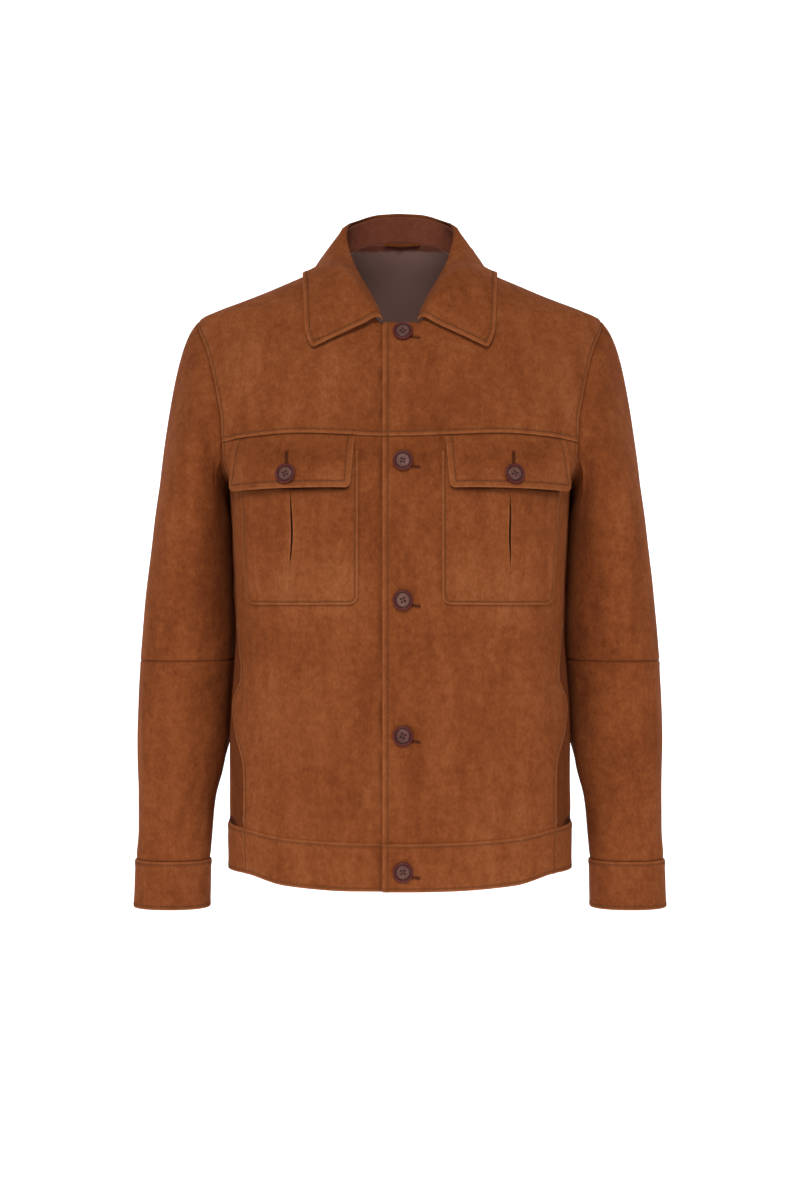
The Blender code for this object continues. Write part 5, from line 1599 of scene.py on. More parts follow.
def fall_columns(at):
    """Over the roll, past the neck seam and down to the leaf's edge, resting on the body."""
    over_seam = at.seam + at.normal * OVER_SEAM_OUT + UP * OVER_SEAM_UP
    near_front = smooth_step(-OVER_SEAM_FROM, -OVER_SEAM_TO, -at.angle)
    over = mix(mix(at.roll, at.edge, OVER_SEAM), over_seam, near_front)
    crest = smooth_step(CREST_FROM, CREST_TO, at.angle)
    turned_in = at.rise * ROLL_RISE - at.out * ROLL_HALF
    rows = [at.roll + mix(at.out * ROLL_HALF - UP * ROLL_END_DROP, turned_in, crest)]
    for w in FALL_SHARES:
        if w <= OVER_SEAM:
            point = mix(at.roll, over, w / OVER_SEAM) + at.out * ROLL_HALF
        else:
            t = (w - OVER_SEAM) / (1 - OVER_SEAM)
            point = mix(over, at.edge, t) + at.out * ROLL_HALF * (1 - t)
        point = point + UP * (at.sag * math.sin(math.pi * w))[:, None]
        if w < STAND_BEHIND:
            short = ROLL_HALF - ((point - at.roll) * at.out).sum(1)
            point = point + at.out * np.maximum(short, 0)[:, None]
        if w >= OVER_SEAM:
            point = rest_on_body(point, COLLAR_CLEAR)
        rows.append(point)
    return np.stack(rows)


print("collar stations:", len(COLLAR))

# %% [markdown]
# ## The fall
# The coarse columns are read again along their own length with a fair curve, so the fold over
# the roll is round. At the leaf's point the lower edge is lifted by a small circle, because a
# turned collar point is never quite sharp. The roll is paler in front, and painted dark behind,
# as shade where it turns in to the neck.
# %% Sew the fall
COLLAR_POINT_RADIUS = 4.5
COLLAR_STEP = 3.0
LEAF_EDGE_LENGTH, FALL_LENGTH = 300.0, 70.0
LEAF_INSET = 5.0
LEAF_NAP = -0.08
COLLAR_CREASES = [(0.12, 0.35, 24, 1.0), (0.33, 0.7, 18, -0.9), (0.52, 0.4, 20, 0.8),
                  (0.66, 0.75, 16, -0.7), (0.86, 0.5, 22, 0.8), (0.93, 0.25, 14, -0.6)]


def corner_rise(distance, radius):
    """How far a rounded corner lifts the lower edge at a distance from its side."""
    inside = np.maximum(radius - distance, 0)
    return np.where(inside > 0, radius - np.sqrt(np.maximum(radius ** 2 - inside ** 2, 0)), 0.0)


def read_column(column, goals):
    """A column of points read at lengths from its last point, on a fair curve."""
    steps = np.linalg.norm(np.diff(column[::-1], axis=0), axis=1)
    run = np.concatenate([[0], np.cumsum(steps)])
    curves = [smooth_curve(run, column[::-1][:, axis]) for axis in range(3)]
    return np.stack([curve(goals * run[-1]) for curve in curves], -1)


def both_halves(rows):
    """From the left end round the back to the right end."""
    return np.concatenate([rows[:, ::-1], rows[:, 1:] * (-1, 1, 1)], axis=1)


last = len(COLLAR) - 1
around = spread(LEAF_EDGE_LENGTH, False, True, COLLAR_STEP) * last
columns = fall_columns(collar_stations(around))
edge_run = np.concatenate([[0], np.cumsum(np.linalg.norm(np.diff(columns[-1], axis=0), axis=1))])
from_point = edge_run[-1] - edge_run
down = spread(FALL_LENGTH, True, False, COLLAR_STEP)
leaf = []
for number in range(len(around)):
    length = np.linalg.norm(np.diff(columns[:, number], axis=0), axis=1).sum()
    lifted = float(corner_rise(from_point[number], COLLAR_POINT_RADIUS)) / length
    leaf.append(read_column(columns[:, number], lifted + down * (1 - lifted)))
fall_grid = both_halves(np.stack(leaf, axis=1))
panel = Panel([fall_grid])
panel.lift = COLLAR_WALL / 2
panel.seam("edge", open_edge(fall_grid))
panel.seam("roll", fall_grid[-1])
shape_edge(panel, "edge", "free", LEAF_INSET, seed=1, pull=1.3)
shape_edge(panel, "roll", "plain", seed=2)
for place, tall, wide, height in COLLAR_CREASES:
    centre = fall_grid[int(tall * (len(down) - 1)), int(place * (fall_grid.shape[1] - 1))]
    off = np.linalg.norm((panel.points - centre) * (1, 1, 0.7), axis=1) / wide
    panel.height += height * np.exp(-off ** 2)
# Painted shade on the roll behind, where it turns in to the neck.
roll_shade = 1.1 * np.exp(-(panel.away["roll"] / 4.0) ** 2) * smooth_step(10, 50, panel.points[:, 1])
panel.mark("groove", roll_shade)
panel.marks["edge"] *= 1 - np.clip(roll_shade, 0, 1)
panel.marks["nap"] += LEAF_NAP
brow = np.exp(-(panel.away["roll"] / 2.4) ** 2) * (1 - smooth_step(0, 30, panel.points[:, 1]))
panel.mark("edge", 1.1 * brow)
piece = make_cloth("collar_fall_cloth", panel, COLLAR_WALL, SUEDE, 9.0, 0.4)
sew_on(piece, "collar_fall")

# %% [markdown]
# ## The stand
# The stand is the redder band that shows inside the neck. It rises from the neck seam to just
# below the roll, and is stitched along its foot.
# %% Sew the stand
STAND_LENGTH, STAND_HEIGHT = 220.0, 38.0
STAND_INSET = 2.6
around = spread(STAND_LENGTH, False, True, COLLAR_STEP) * last * STAND_ENDS
at = collar_stations(around)
low = at.seam - at.normal * WALL / 2 + at.rise * STAND_CLEAR
high = at.roll - at.out * ROLL_HALF - at.rise * ROLL_HALF
stand_grid = both_halves(np.stack([mix(low, high, w) for w in spread(STAND_HEIGHT)]))[:, ::-1]
panel = Panel([stand_grid])
panel.lift = COLLAR_WALL / 2
panel.seam("top", stand_grid[-1])
panel.seam("neck", stand_grid[0])
panel.seam("ends", stand_grid[:, 0])
panel.seam("ends", stand_grid[:, -1])
shape_edge(panel, "top", "plain", seed=1)
shape_edge(panel, "neck", "stitched", STAND_INSET, seed=2)
shape_edge(panel, "ends", "plain", seed=3)
piece = make_cloth("collar_stand_cloth", panel, COLLAR_WALL, STAND_SUEDE, 10.0, 0.3)
sew_on(piece, "collar_stand")

# %% [markdown]
# ## The chest pockets
# Each pocket is a patch with rounded lower corners, stitched close to its edge, and it swells a
# little off the front. Down its middle runs a pleat. The pleat is a pair of folded edges that
# part into a narrow slit, painted dark as shade, with columns of points that follow the opening.
# Below the flap's edge the pocket carries a painted shadow of the flap.
# %% Sew the pockets
POCKET_INNER_X = 43.0
POCKET_OUTER_X_TOP, POCKET_OUTER_X_LOW = 168.0, 158.0
POCKET_TOP_Z, POCKET_LOW_Z = -213.0, -370.6
POCKET_CORNER = 9.0
POCKET_LIFT = 0.8
POCKET_PUFF = 2.0
POCKET_PUFF_WITHIN = 55.0
PLEAT_X = 111.6
PLEAT_TOP_Z, PLEAT_LOW_Z = -254.0, -334.0
PLEAT_OPEN = 1.3
PLEAT_CLOSED = 0.14
PLEAT_DEEP = 1.7
PLEAT_CREASE = 0.45
PLEAT_LIP = 0.9
PLEAT_NEAR = (0.0, 0.2, 0.5, 0.9, 1.4, 2.1, 3.0, 4.2, 5.6)
PLEAT_BOW = {1: 0.8, -1: -1.2}
POCKET_INSET = 2.9
FLAP_LOW_Z = -251.5
SHADE_DEEP = 8.0
SHADE_CORE = 3.4


def on_front(x, z, side):
    """Points of a front, with the front's normals there, on the +X half."""
    angle = front_angle(x, z)
    normal = body_normal(angle, z, side)
    return body_point(angle, z, side) + normal * lap_lift(x, LAP_STEP, side)[..., None], normal


def pocket_puff(edge):
    return POCKET_PUFF * smooth_step(0, 1, edge / POCKET_PUFF_WITHIN)


def pocket_places(bow):
    """X and Z of the pocket's points, and how far the pleat is open at each."""
    tall = POCKET_TOP_Z - POCKET_LOW_Z
    z0 = (POCKET_LOW_Z + spread(tall) * tall)[:, None]
    fall = (POCKET_TOP_Z - z0) / tall
    outer = POCKET_OUTER_X_TOP + (POCKET_OUTER_X_LOW - POCKET_OUTER_X_TOP) * fall
    share = np.clip((PLEAT_TOP_Z - z0) / (PLEAT_TOP_Z - PLEAT_LOW_Z), 0, 1)
    opening = np.sin(math.pi * share) ** 0.8
    gap = PLEAT_CLOSED + (PLEAT_OPEN - PLEAT_CLOSED) * opening
    middle = PLEAT_X + bow * np.sin(math.pi * share)
    near = PLEAT_NEAR[-1]
    left_end = middle - gap - near
    right_start = middle + gap + near
    columns = [POCKET_INNER_X + (left_end - POCKET_INNER_X) * a
               for a in spread(PLEAT_X - near - POCKET_INNER_X, True, False)[:-1]]
    columns += [middle - gap - d for d in PLEAT_NEAR[::-1]]
    columns += [middle + gap * t for t in (-0.75, 0.0, 0.75)]
    columns += [middle + gap + d for d in PLEAT_NEAR]
    columns += [right_start + (outer - right_start) * a
                for a in spread(POCKET_OUTER_X_LOW - PLEAT_X - near, False, True)[1:]]
    x = np.concatenate([column + 0 * z0 for column in columns], axis=1)
    edge = np.minimum(x - POCKET_INNER_X, outer - x)
    z = z0 + corner_rise(edge, POCKET_CORNER) * smooth_step(0.75, 1.0, fall)
    return x, z, edge, abs(x - middle) - gap, opening + 0 * x


def shade_below_flap(points, side):
    """Painted shadow on the pocket under the flap's edge, deeper where the flap stands off."""
    below = np.maximum(FLAP_LOW_Z - points[:, 2], 0)
    across = points[:, 0]
    swell = 0.62 + 0.38 * np.sin(across * 0.062 + 1.2 * side) * np.sin(across * 0.031 + 0.7)
    ends = smooth_step(POCKET_INNER_X + 2, POCKET_INNER_X + 14, across)
    soft = 0.72 * np.exp(-(below / (SHADE_DEEP * (0.6 + swell))) ** 2)
    core = 1.35 * np.exp(-(below / (SHADE_CORE * (0.5 + swell))) ** 2)
    return np.maximum(soft, core) * ends * (0.75 + 0.25 * swell)


for word, side in SIDES:
    x, z, edge, past_gap, opening = pocket_places(PLEAT_BOW[side])
    points, normals = on_front(x, z, side)
    lifts = POCKET_LIFT + pocket_puff(np.minimum(edge, z - POCKET_LOW_Z)) + WALL
    inside = past_gap < -0.01
    deep = PLEAT_CREASE + (PLEAT_DEEP - PLEAT_CREASE) * opening
    closed_fades = smooth_step(POCKET_LOW_Z, POCKET_LOW_Z + 30, z)
    lip = PLEAT_LIP * opening * np.exp(-(past_gap / 1.6) ** 2)
    lifts = lifts + np.where(inside, -deep * closed_fades, lip)
    panel = Panel([points], normals, lifts)
    panel.seam("edge", open_edge(points))
    panel.seam("top", points[-1])
    shape_edge(panel, "edge", "turned", POCKET_INSET, seed=6 * side)
    panel.height -= 0.45 * np.exp(-(panel.away["edge"] / 6.0) ** 2)
    # Painted shade inside the pleat's slit.
    slit = np.where(inside, np.clip(0.25 + opening, 0, 1), 0)
    pale = np.exp(-(past_gap / 1.1) ** 2) * ~inside * opening * 0.8
    panel.mark("groove", slit.reshape(-1)[panel.order] * 1.6)
    panel.mark("groove", shade_below_flap(panel.points, side))
    panel.mark("edge", pale.reshape(-1)[panel.order])
    piece = make_cloth(f"pocket_{word}_cloth", panel, WALL, SUEDE, 11.0 * side, side=side)
    sew_on(piece, f"pocket_{word}")

# %% [markdown]
# ## The pocket flaps
# A flap is sewn into the yoke seam, steps down over the pocket's top and bows away from it, so
# its thick turned edge throws a soft shadow. Its corners are small circles.
# %% Sew the flaps
FLAP_INNER_X_TOP, FLAP_INNER_X_LOW = 46.2, 50.4
FLAP_OUTER_X_TOP, FLAP_OUTER_X_LOW = 171.5, 175.5
FLAP_ROOT_Z, FLAP_TOP_DROP = -198.0, 1.2
FLAP_BEND_Z = -200.0
FLAP_CORNER = 6.0
FLAP_OVER_POCKET = 0.6
FLAP_STEP_LENGTH = 12.0
FLAP_BOW = 5.0
FLAP_TOP_PRESS = 0.9
FLAP_TALL, FLAP_WIDE = 53.0, 124.0
FLAP_INSET = 6.6
FLAP_WAVES = {1: [(0.2, 0.7), (0.55, -0.8), (0.85, 0.9)], -1: [(0.15, 0.9), (0.45, -0.7), (0.78, 0.8)]}


def flap_height(x, z):
    """How far the flap's inner face stands off the front, over the pocket beneath it."""
    step = smooth_step(0, FLAP_STEP_LENGTH, FLAP_BEND_Z - z)
    share = np.clip((FLAP_BEND_Z - z) / (FLAP_BEND_Z - FLAP_LOW_Z), 0, 1)
    across = np.clip((x - FLAP_INNER_X_LOW) / (FLAP_OUTER_X_LOW - FLAP_INNER_X_LOW), 0, 1)
    edge = np.maximum(np.minimum(x - POCKET_INNER_X, POCKET_OUTER_X_TOP - x), 0)
    over = WALL + FLAP_OVER_POCKET + pocket_puff(edge)
    return POCKET_LIFT + over * step + FLAP_BOW * share ** 2 * np.sin(math.pi * across) ** 0.5


for word, side in SIDES:
    downs = spread(FLAP_TALL)[:, None]
    across = spread(FLAP_WIDE)[None]
    inner = FLAP_INNER_X_TOP + (FLAP_INNER_X_LOW - FLAP_INNER_X_TOP) * downs
    outer = FLAP_OUTER_X_TOP + (FLAP_OUTER_X_LOW - FLAP_OUTER_X_TOP) * downs
    x = inner + (outer - inner) * across
    top = yoke_z(front_angle(x, FLAP_ROOT_Z + 0 * x)) - FLAP_TOP_DROP
    edge = np.minimum(x - inner, outer - x)
    low = FLAP_LOW_Z + corner_rise(edge, FLAP_CORNER)
    z = top + (low - top) * downs
    points, normals = on_front(x, z, side)
    lifts = flap_height(x, z) + WALL - FLAP_TOP_PRESS * (1 - smooth_step(0, 6, top - z))
    for place, height in FLAP_WAVES[side]:
        lifts = lifts + height * downs ** 2 * np.exp(-((across - place) / 0.13) ** 2)
    points, normals, lifts = points[::-1], normals[::-1], lifts[::-1]
    panel = Panel([points], normals, lifts)
    panel.seam("edge", open_edge(points))
    panel.seam("top", points[-1])
    shape_edge(panel, "edge", "free", FLAP_INSET, seed=7 * side, pull=1.2)
    shape_edge(panel, "top", "under", seed=8 * side)
    panel.height += 0.5 * np.exp(-((panel.away["edge"] - 3.2) / 2.6) ** 2)
    piece = make_cloth(f"flap_{word}_cloth", panel, WALL, SUEDE, 12.0 * side, side=side)
    sew_on(piece, f"flap_{word}")

# %% [markdown]
# ## Finding the cloth again
# Buttons, buttonholes and tacks sit on finished cloth, creases and all. A line from straight in
# front finds the place: `landing` gives where it meets a piece, and which way the cloth faces.
# %% Land on the cloth
RAY_START = -400.0
trees = {}


def cloth_tree(name):
    if name not in trees:
        cloth = sewn[name]
        trees[name] = BVHTree.FromPolygons(cloth.surface.tolist(), cloth.panel.quads.tolist())
    return trees[name]


def landing(name, x, z):
    """Where a line from the front meets a sewn piece: the place and the way the cloth faces."""
    place, normal, _, _ = cloth_tree(name).ray_cast(Vector((x, RAY_START, z)), Vector((0, 1, 0)))
    if place is None:
        return None
    return np.array(place), np.array(-normal if normal.y > 0 else normal)


def seat(name, x, z, radius):
    """A level seat for a round thing: it rests on the highest cloth beneath it."""
    middle, normal = landing(name, x, z)
    ring = [landing(name, x + radius * math.cos(a), z + radius * math.sin(a))
            for a in np.linspace(0, math.tau, 9)[:-1]]
    ring = [place for place in ring if place is not None]
    normal = unit(np.mean([normal] + [way for _, way in ring], axis=0))
    rise = max(float((place - middle) @ normal) for place, _ in ring)
    return middle + normal * max(rise, 0.0), normal


print("the cloth under the second button:", landing("front_left_cloth", 3.0, -223.3)[0].round(1))

# %% [markdown]
# ## The buttons
# A horn button is turned on a lathe and drilled four times, so it is made that way here: one
# profile spun round, four drills taken out. No two buttons are sewn on at the same turn. The
# thread crosses from hole to hole over the middle, and a dark sheet below the holes paints the
# shade inside them.
# %% Turn and place the buttons
BUTTON_X = 3.0
FRONT_BUTTON_Z = (-86.0, -223.3, -366.0, -505.1, -644.1)
FLAP_BUTTON_X, FLAP_BUTTON_Z = 117.0, -237.0
BUTTON_PROFILE = [
    (0.0, 0.0), (8.4, 0.0), (9.5, 0.3), (10.25, 0.95), (10.6, 1.75), (10.55, 2.5), (10.2, 3.1),
    (9.6, 3.42), (8.9, 3.45), (8.35, 3.15), (7.95, 2.55), (7.6, 2.1), (7.15, 1.98), (6.7, 2.2),
    (6.2, 2.42), (5.2, 2.5), (3.0, 2.38), (0.0, 2.34),
]
BUTTON_SIDES = 40
BUTTON_LIFT = 0.5
HOLE_RADIUS = 1.1
HOLE_OFFSET = 2.35
HOLE_SIDES = 10
DRILL_DEPTH, DRILL_MIDDLE = 8.0, 1.0
SEAT_RADIUS = 9.0
SHARP_TURN = 42
RIM_FROM, RIM_TO = 6.6, 7.8
RING_AT, RING_WIDE = 7.3, 0.6
BUTTON_TURNS = {"button_front_1": 2, "button_front_2": 38, "button_front_3": 64, "button_front_4": 21,
                "button_front_5": 50, "button_pocket_left": 12, "button_pocket_right": 71}


def turned_button_mesh():
    """One button about its own Z axis, its four holes cut by a Boolean."""
    shape = bmesh.new()
    outline = [shape.verts.new((r * MM, 0, h * MM)) for r, h in BUTTON_PROFILE]
    edges = [shape.edges.new(pair) for pair in zip(outline, outline[1:])]
    bmesh.ops.spin(shape, geom=outline + edges, cent=(0, 0, 0), axis=(0, 0, 1),
                   angle=math.tau, steps=BUTTON_SIDES, use_merge=False)
    bmesh.ops.remove_doubles(shape, verts=shape.verts, dist=0.00001)
    bmesh.ops.recalc_face_normals(shape, faces=shape.faces)
    disc = bpy.data.meshes.new("button_disc")
    shape.to_mesh(disc)
    shape.free()
    drills = bmesh.new()
    for turn in range(4):
        off_centre = Matrix.Translation((HOLE_OFFSET * MM, 0, DRILL_MIDDLE * MM))
        place = Matrix.Rotation(turn * math.pi / 2, 4, "Z") @ off_centre
        bmesh.ops.create_cone(drills, cap_ends=True, segments=HOLE_SIDES, radius1=HOLE_RADIUS * MM,
                              radius2=HOLE_RADIUS * MM, depth=DRILL_DEPTH * MM, matrix=place)
    drill_mesh = bpy.data.meshes.new("button_drills")
    drills.to_mesh(drill_mesh)
    drills.free()
    blank = add_object("button_blank", disc)
    cutter = add_object("button_cutter", drill_mesh)
    cut = blank.modifiers.new("holes", "BOOLEAN")
    cut.operation = "DIFFERENCE"
    cut.solver = "EXACT"
    cut.object = cutter
    bpy.context.view_layer.update()
    mesh = bpy.data.meshes.new_from_object(blank.evaluated_get(bpy.context.evaluated_depsgraph_get()))
    for item in (blank, cutter):
        bpy.data.objects.remove(item, do_unlink=True)
    return mesh


def tube_mesh(paths, radius, sides=6):
    """Thin round tubes along several paths, as points and faces."""
    points, faces = [], []
    for path in paths:
        path = np.asarray(path, float)
        ahead = unit(np.gradient(path, axis=0))
        across = unit(np.cross(ahead, (0.37, 0.21, 0.9)))
        up = np.cross(across, ahead)
        start = len(points)
        for centre, a, b in zip(path, across, up):
            points += [centre + radius * (a * math.cos(t) + b * math.sin(t))
                       for t in np.linspace(0, math.tau, sides, endpoint=False)]
        for ring in range(len(path) - 1):
            for k in range(sides):
                low, near = start + ring * sides + k, start + ring * sides + (k + 1) % sides
                faces.append((low, near, near + sides, low + sides))
    return np.array(points), faces


def placed(points, centre, normal, turn):
    """Points of a thing about its own Z axis, set on the cloth with that normal and turn."""
    right = unit(np.cross(UP, normal))
    axes = np.stack([right, np.cross(normal, right), normal])
    c, s = math.cos(math.radians(turn)), math.sin(math.radians(turn))
    spun = points @ np.array([[c, s, 0], [-s, c, 0], [0, 0, 1]])
    return centre + spun @ axes


button_mesh = turned_button_mesh()
button_points = np.array([vertex.co[:] for vertex in button_mesh.vertices]) / MM
button_faces = [tuple(polygon.vertices) for polygon in button_mesh.polygons]
button_radius = np.hypot(button_points[:, 0], button_points[:, 1])
# The ring mark is painted shade in the groove round the face.
button_marks = {"rim": smooth_step(RIM_FROM, RIM_TO, button_radius),
                "groove": np.exp(-((button_radius - RING_AT) / RING_WIDE) ** 2)}
print("one button:", len(button_points), "points,", len(button_faces), "faces")

# %% Thread the buttons and sew them on
THREAD_RADIUS = 0.26
THREAD_PATHS = [
    [(-HOLE_OFFSET, 0, 0.4), (-HOLE_OFFSET, 0, 2.3), (-1.2, 0, 2.95), (0, 0, 3.05), (1.2, 0, 2.95),
     (HOLE_OFFSET, 0, 2.3), (HOLE_OFFSET, 0, 0.4)],
    [(0, -HOLE_OFFSET, 0.4), (0, -HOLE_OFFSET, 2.3), (0, -1.2, 2.75), (0, 0, 2.8), (0, 1.2, 2.75),
     (0, HOLE_OFFSET, 2.3), (0, HOLE_OFFSET, 0.4)],
    [(-0.5, 0.3, -0.6), (-0.5, 0.3, 1.4)], [(0.5, -0.3, -0.6), (0.5, -0.3, 1.4)],
]
# Painted shade: a dark sheet under the four holes.
HOLE_SHADE_SHEET = [(-3.6, -3.6, 0.5), (3.6, -3.6, 0.5), (3.6, 3.6, 0.5), (-3.6, 3.6, 0.5)]
thread_points, thread_faces = tube_mesh(THREAD_PATHS, THREAD_RADIUS)
thread_faces.append(tuple(len(thread_points) + k for k in range(4)))
thread_points = np.concatenate([thread_points, HOLE_SHADE_SHEET])
BUTTONS = [(f"button_front_{number}", 1, BUTTON_X, z) for number, z in enumerate(FRONT_BUTTON_Z, 1)]
BUTTONS += [(f"button_pocket_{word}", side, FLAP_BUTTON_X, FLAP_BUTTON_Z) for word, side in SIDES]
carriers = {}
for name, side, x, z in BUTTONS:
    if name.startswith("button_pocket"):
        carrier = "flap_left_cloth" if side > 0 else "flap_right_cloth"
    elif z > YOKE_SEAM[0].z:
        carrier = "yoke_left_cloth"
    else:
        carrier = "front_left_cloth" if z > BAND_SEAM[0].z else "waistband_left_cloth"
    carriers[name] = carrier
    centre, normal = seat(carrier, side * x, z, SEAT_RADIUS)
    centre = centre + normal * BUTTON_LIFT
    button = make_mesh(name + "_horn", placed(button_points, centre, normal, BUTTON_TURNS[name]),
                       button_faces, HORN, button_marks)
    button.data.set_sharp_from_angle(angle=math.radians(SHARP_TURN))
    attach(button, "root")
    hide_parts(name)
    strands = make_mesh(name + "_thread", placed(thread_points, centre, normal, BUTTON_TURNS[name]),
                        thread_faces, BUTTON_THREAD)
    strands.data.materials.append(PAINTED_SHADE_FINISH)
    strands.data.polygons[len(thread_faces) - 1].material_index = 1
    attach(strands, "root")
print("buttons sewn on:", len(BUTTONS), "with", len(button_faces), "faces each")

# %% [markdown]
# ## A recipe for stitches
# A row of machine stitches is the same small thread again and again, with a tiny hole between
# each two. That is work for geometry nodes: the row comes in as edges, becomes a curve, gets a
# point every half pitch, and takes a thread on each even point and, on each odd one, a dark bead
# that paints the shade in the hole. The same recipe lays buttonhole stitches, turned across the row.
# %% Build the stitch recipe
WANDER = 0.12
SHORTEST, LONGEST = 0.86, 1.1


def build_stitch_tree():
    tree = bpy.data.node_groups.new("stitch_rows", "GeometryNodeTree")
    face = tree.interface
    face.new_socket("Geometry", in_out="INPUT", socket_type="NodeSocketGeometry")
    for name in ("Pitch", "Length", "Thickness", "Hole", "Across"):
        face.new_socket(name, in_out="INPUT", socket_type="NodeSocketFloat")
    face.new_socket("Seed", in_out="INPUT", socket_type="NodeSocketInt")
    for name in ("Thread", "Shade"):
        face.new_socket(name, in_out="INPUT", socket_type="NodeSocketMaterial")
    inputs = [item.name for item in face.items_tree]
    face.new_socket("Geometry", in_out="OUTPUT", socket_type="NodeSocketGeometry")
    recipe = Graph(tree)
    given = dict(zip(inputs, recipe.node("NodeGroupInput")))
    curve = recipe.node("GeometryNodeMeshToCurve", None, {"Mesh": given["Geometry"]})[0]
    curve = recipe.node("GeometryNodeResampleCurve", {"mode": "LENGTH"},
                        {"Curve": curve, "Length": given["Pitch"] * 0.5})[0]
    wander = recipe.node("FunctionNodeRandomValue", {"data_type": "FLOAT_VECTOR"},
                         {0: (-WANDER * MM,) * 3, 1: (WANDER * MM,) * 3, 8: given["Seed"]})[0]
    curve = recipe.node("GeometryNodeSetPosition", None, {"Geometry": curve, "Offset": wander})[0]
    tangent = recipe.node("GeometryNodeInputTangent")[0]
    crossing = recipe.node("ShaderNodeVectorMath", {"operation": "CROSS_PRODUCT"},
                           {0: tangent, 1: (0.0, -1.0, 0.0)})[0]
    way = recipe.node("ShaderNodeMix", {"data_type": "VECTOR"},
                      {0: given["Across"], 4: tangent, 5: crossing})[0]
    turn = recipe.node("FunctionNodeAlignRotationToVector", {"axis": "X"}, {"Vector": way})[0]
    index = recipe.node("GeometryNodeInputIndex")[0]
    odd = index.math("MODULO", index, 2.0)
    swell = recipe.node("FunctionNodeRandomValue", {"data_type": "FLOAT"},
                        {2: SHORTEST, 3: LONGEST, 8: given["Seed"]})[0]
    shapes = []
    for chosen, long, thick, finish, sides in (
            (1 - odd, given["Length"], given["Thickness"], given["Thread"], 6),
            (odd, given["Hole"], given["Hole"] * 0.7, given["Shade"], 5)):
        bead = recipe.node("GeometryNodeMeshUVSphere", None,
                           {"Segments": sides, "Rings": 4, "Radius": 0.5})[0]
        size = recipe.node("ShaderNodeCombineXYZ", None, {0: long * swell, 1: thick, 2: thick})[0]
        beads = recipe.node("GeometryNodeInstanceOnPoints", None,
                            {"Points": curve, "Selection": chosen, "Instance": bead,
                             "Rotation": turn, "Scale": size})[0]
        beads = recipe.node("GeometryNodeRealizeInstances", None, {"Geometry": beads})[0]
        shapes.append(recipe.node("GeometryNodeSetMaterial", None,
                                  {"Geometry": beads, "Material": finish})[0])
    joined = tree.nodes.new("GeometryNodeJoinGeometry")
    for shape in reversed(shapes):
        tree.links.new(shape.socket, joined.inputs[0])
    out = tree.nodes.new("NodeGroupOutput")
    tree.links.new(joined.outputs[0], out.inputs[0])
    return tree


stitch_tree = build_stitch_tree()
SEAM_STITCH = {"Pitch": 2.6, "Length": 1.7, "Thickness": 0.62, "Hole": 1.15}


def lay_stitches(name, rows, seed=1, thread=THREAD, **amounts):
    """One piece with all the stitches of some rows. Amounts are in millimetres."""
    points, edges = [], []
    for row in rows:
        start = len(points)
        points += [tuple(np.asarray(place) * MM) for place in row]
        edges += [(start + k, start + k + 1) for k in range(len(row) - 1)]
    if not edges:
        return None
    mesh = bpy.data.meshes.new(name + "_rows")
    mesh.from_pydata(points, edges, [])
    guide = add_object(name + "_rows", mesh)
    modifier = guide.modifiers.new("stitches", "NODES")
    modifier.node_group = stitch_tree
    inputs = {item.name: item.identifier for item in stitch_tree.interface.items_tree
              if item.item_type == "SOCKET" and item.in_out == "INPUT"}
    for key, value in SEAM_STITCH.items():
        modifier[inputs[key]] = amounts.get(key.lower(), value) * MM
    modifier[inputs["Across"]] = float(amounts.get("across", 0))
    modifier[inputs["Seed"]] = seed
    modifier[inputs["Thread"]] = thread
    modifier[inputs["Shade"]] = PAINTED_SHADE_FINISH
    bpy.context.view_layer.update()
    laid = bpy.data.meshes.new_from_object(guide.evaluated_get(bpy.context.evaluated_depsgraph_get()))
    bpy.data.objects.remove(guide, do_unlink=True)
    laid.shade_smooth()
    piece = add_object(name, laid)
    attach(piece, "root")
    return piece


print("stitch recipe with", len(stitch_tree.nodes), "nodes")

# %% [markdown]
# ## Rows of stitches
# Each stitched seam has already pressed a line into the cloth at its own distance from the
# edge. `seam_rows` finds that line again on the finished face, as the places where the distance
# is right, so the thread always lies in its own groove.
# %% Lay the seam stitches
STITCH_RISE = 0.18
FEWEST_PLACES = 4


def seam_rows(name, seam, inset):
    """Chains of places on a sewn piece that lie one inset from a seam."""
    cloth = sewn[name]
    field = cloth.panel.away[seam] - inset
    quads = cloth.panel.quads
    triangles = np.concatenate([quads[:, [0, 1, 2]], quads[:, [0, 2, 3]]])
    signs = field[triangles] > 0
    mixed = triangles[signs.any(1) & ~signs.all(1)]
    place, links = {}, defaultdict(list)
    for triangle in mixed:
        ends = []
        for a, b in ((0, 1), (1, 2), (2, 0)):
            i, j = sorted((int(triangle[a]), int(triangle[b])))
            if i != j and (field[i] > 0) != (field[j] > 0):
                share = field[i] / (field[i] - field[j])
                place[i, j] = (cloth.surface[i] * (1 - share) + cloth.surface[j] * share
                               + cloth.normals[i] * STITCH_RISE)
                ends.append((i, j))
        if len(ends) == 2:
            links[ends[0]].append(ends[1])
            links[ends[1]].append(ends[0])
    rows, left = [], set(links)
    while left:
        open_ends = [key for key in left if len(links[key]) == 1]
        start = min(open_ends) if open_ends else min(left)
        chain, here = [start], start
        left.discard(start)
        while True:
            ahead = [key for key in links[here] if key in left]
            if not ahead:
                break
            here = ahead[0]
            left.discard(here)
            chain.append(here)
        if len(chain) > FEWEST_PLACES:
            rows.append(smooth_row(np.array([place[key] for key in chain])))
    return rows


def smooth_row(row):
    """Take the small steps out of a chain."""
    for _ in range(2):
        row = np.concatenate([row[:1], (row[:-2] + 2 * row[1:-1] + row[2:]) / 4, row[-1:]])
    return row


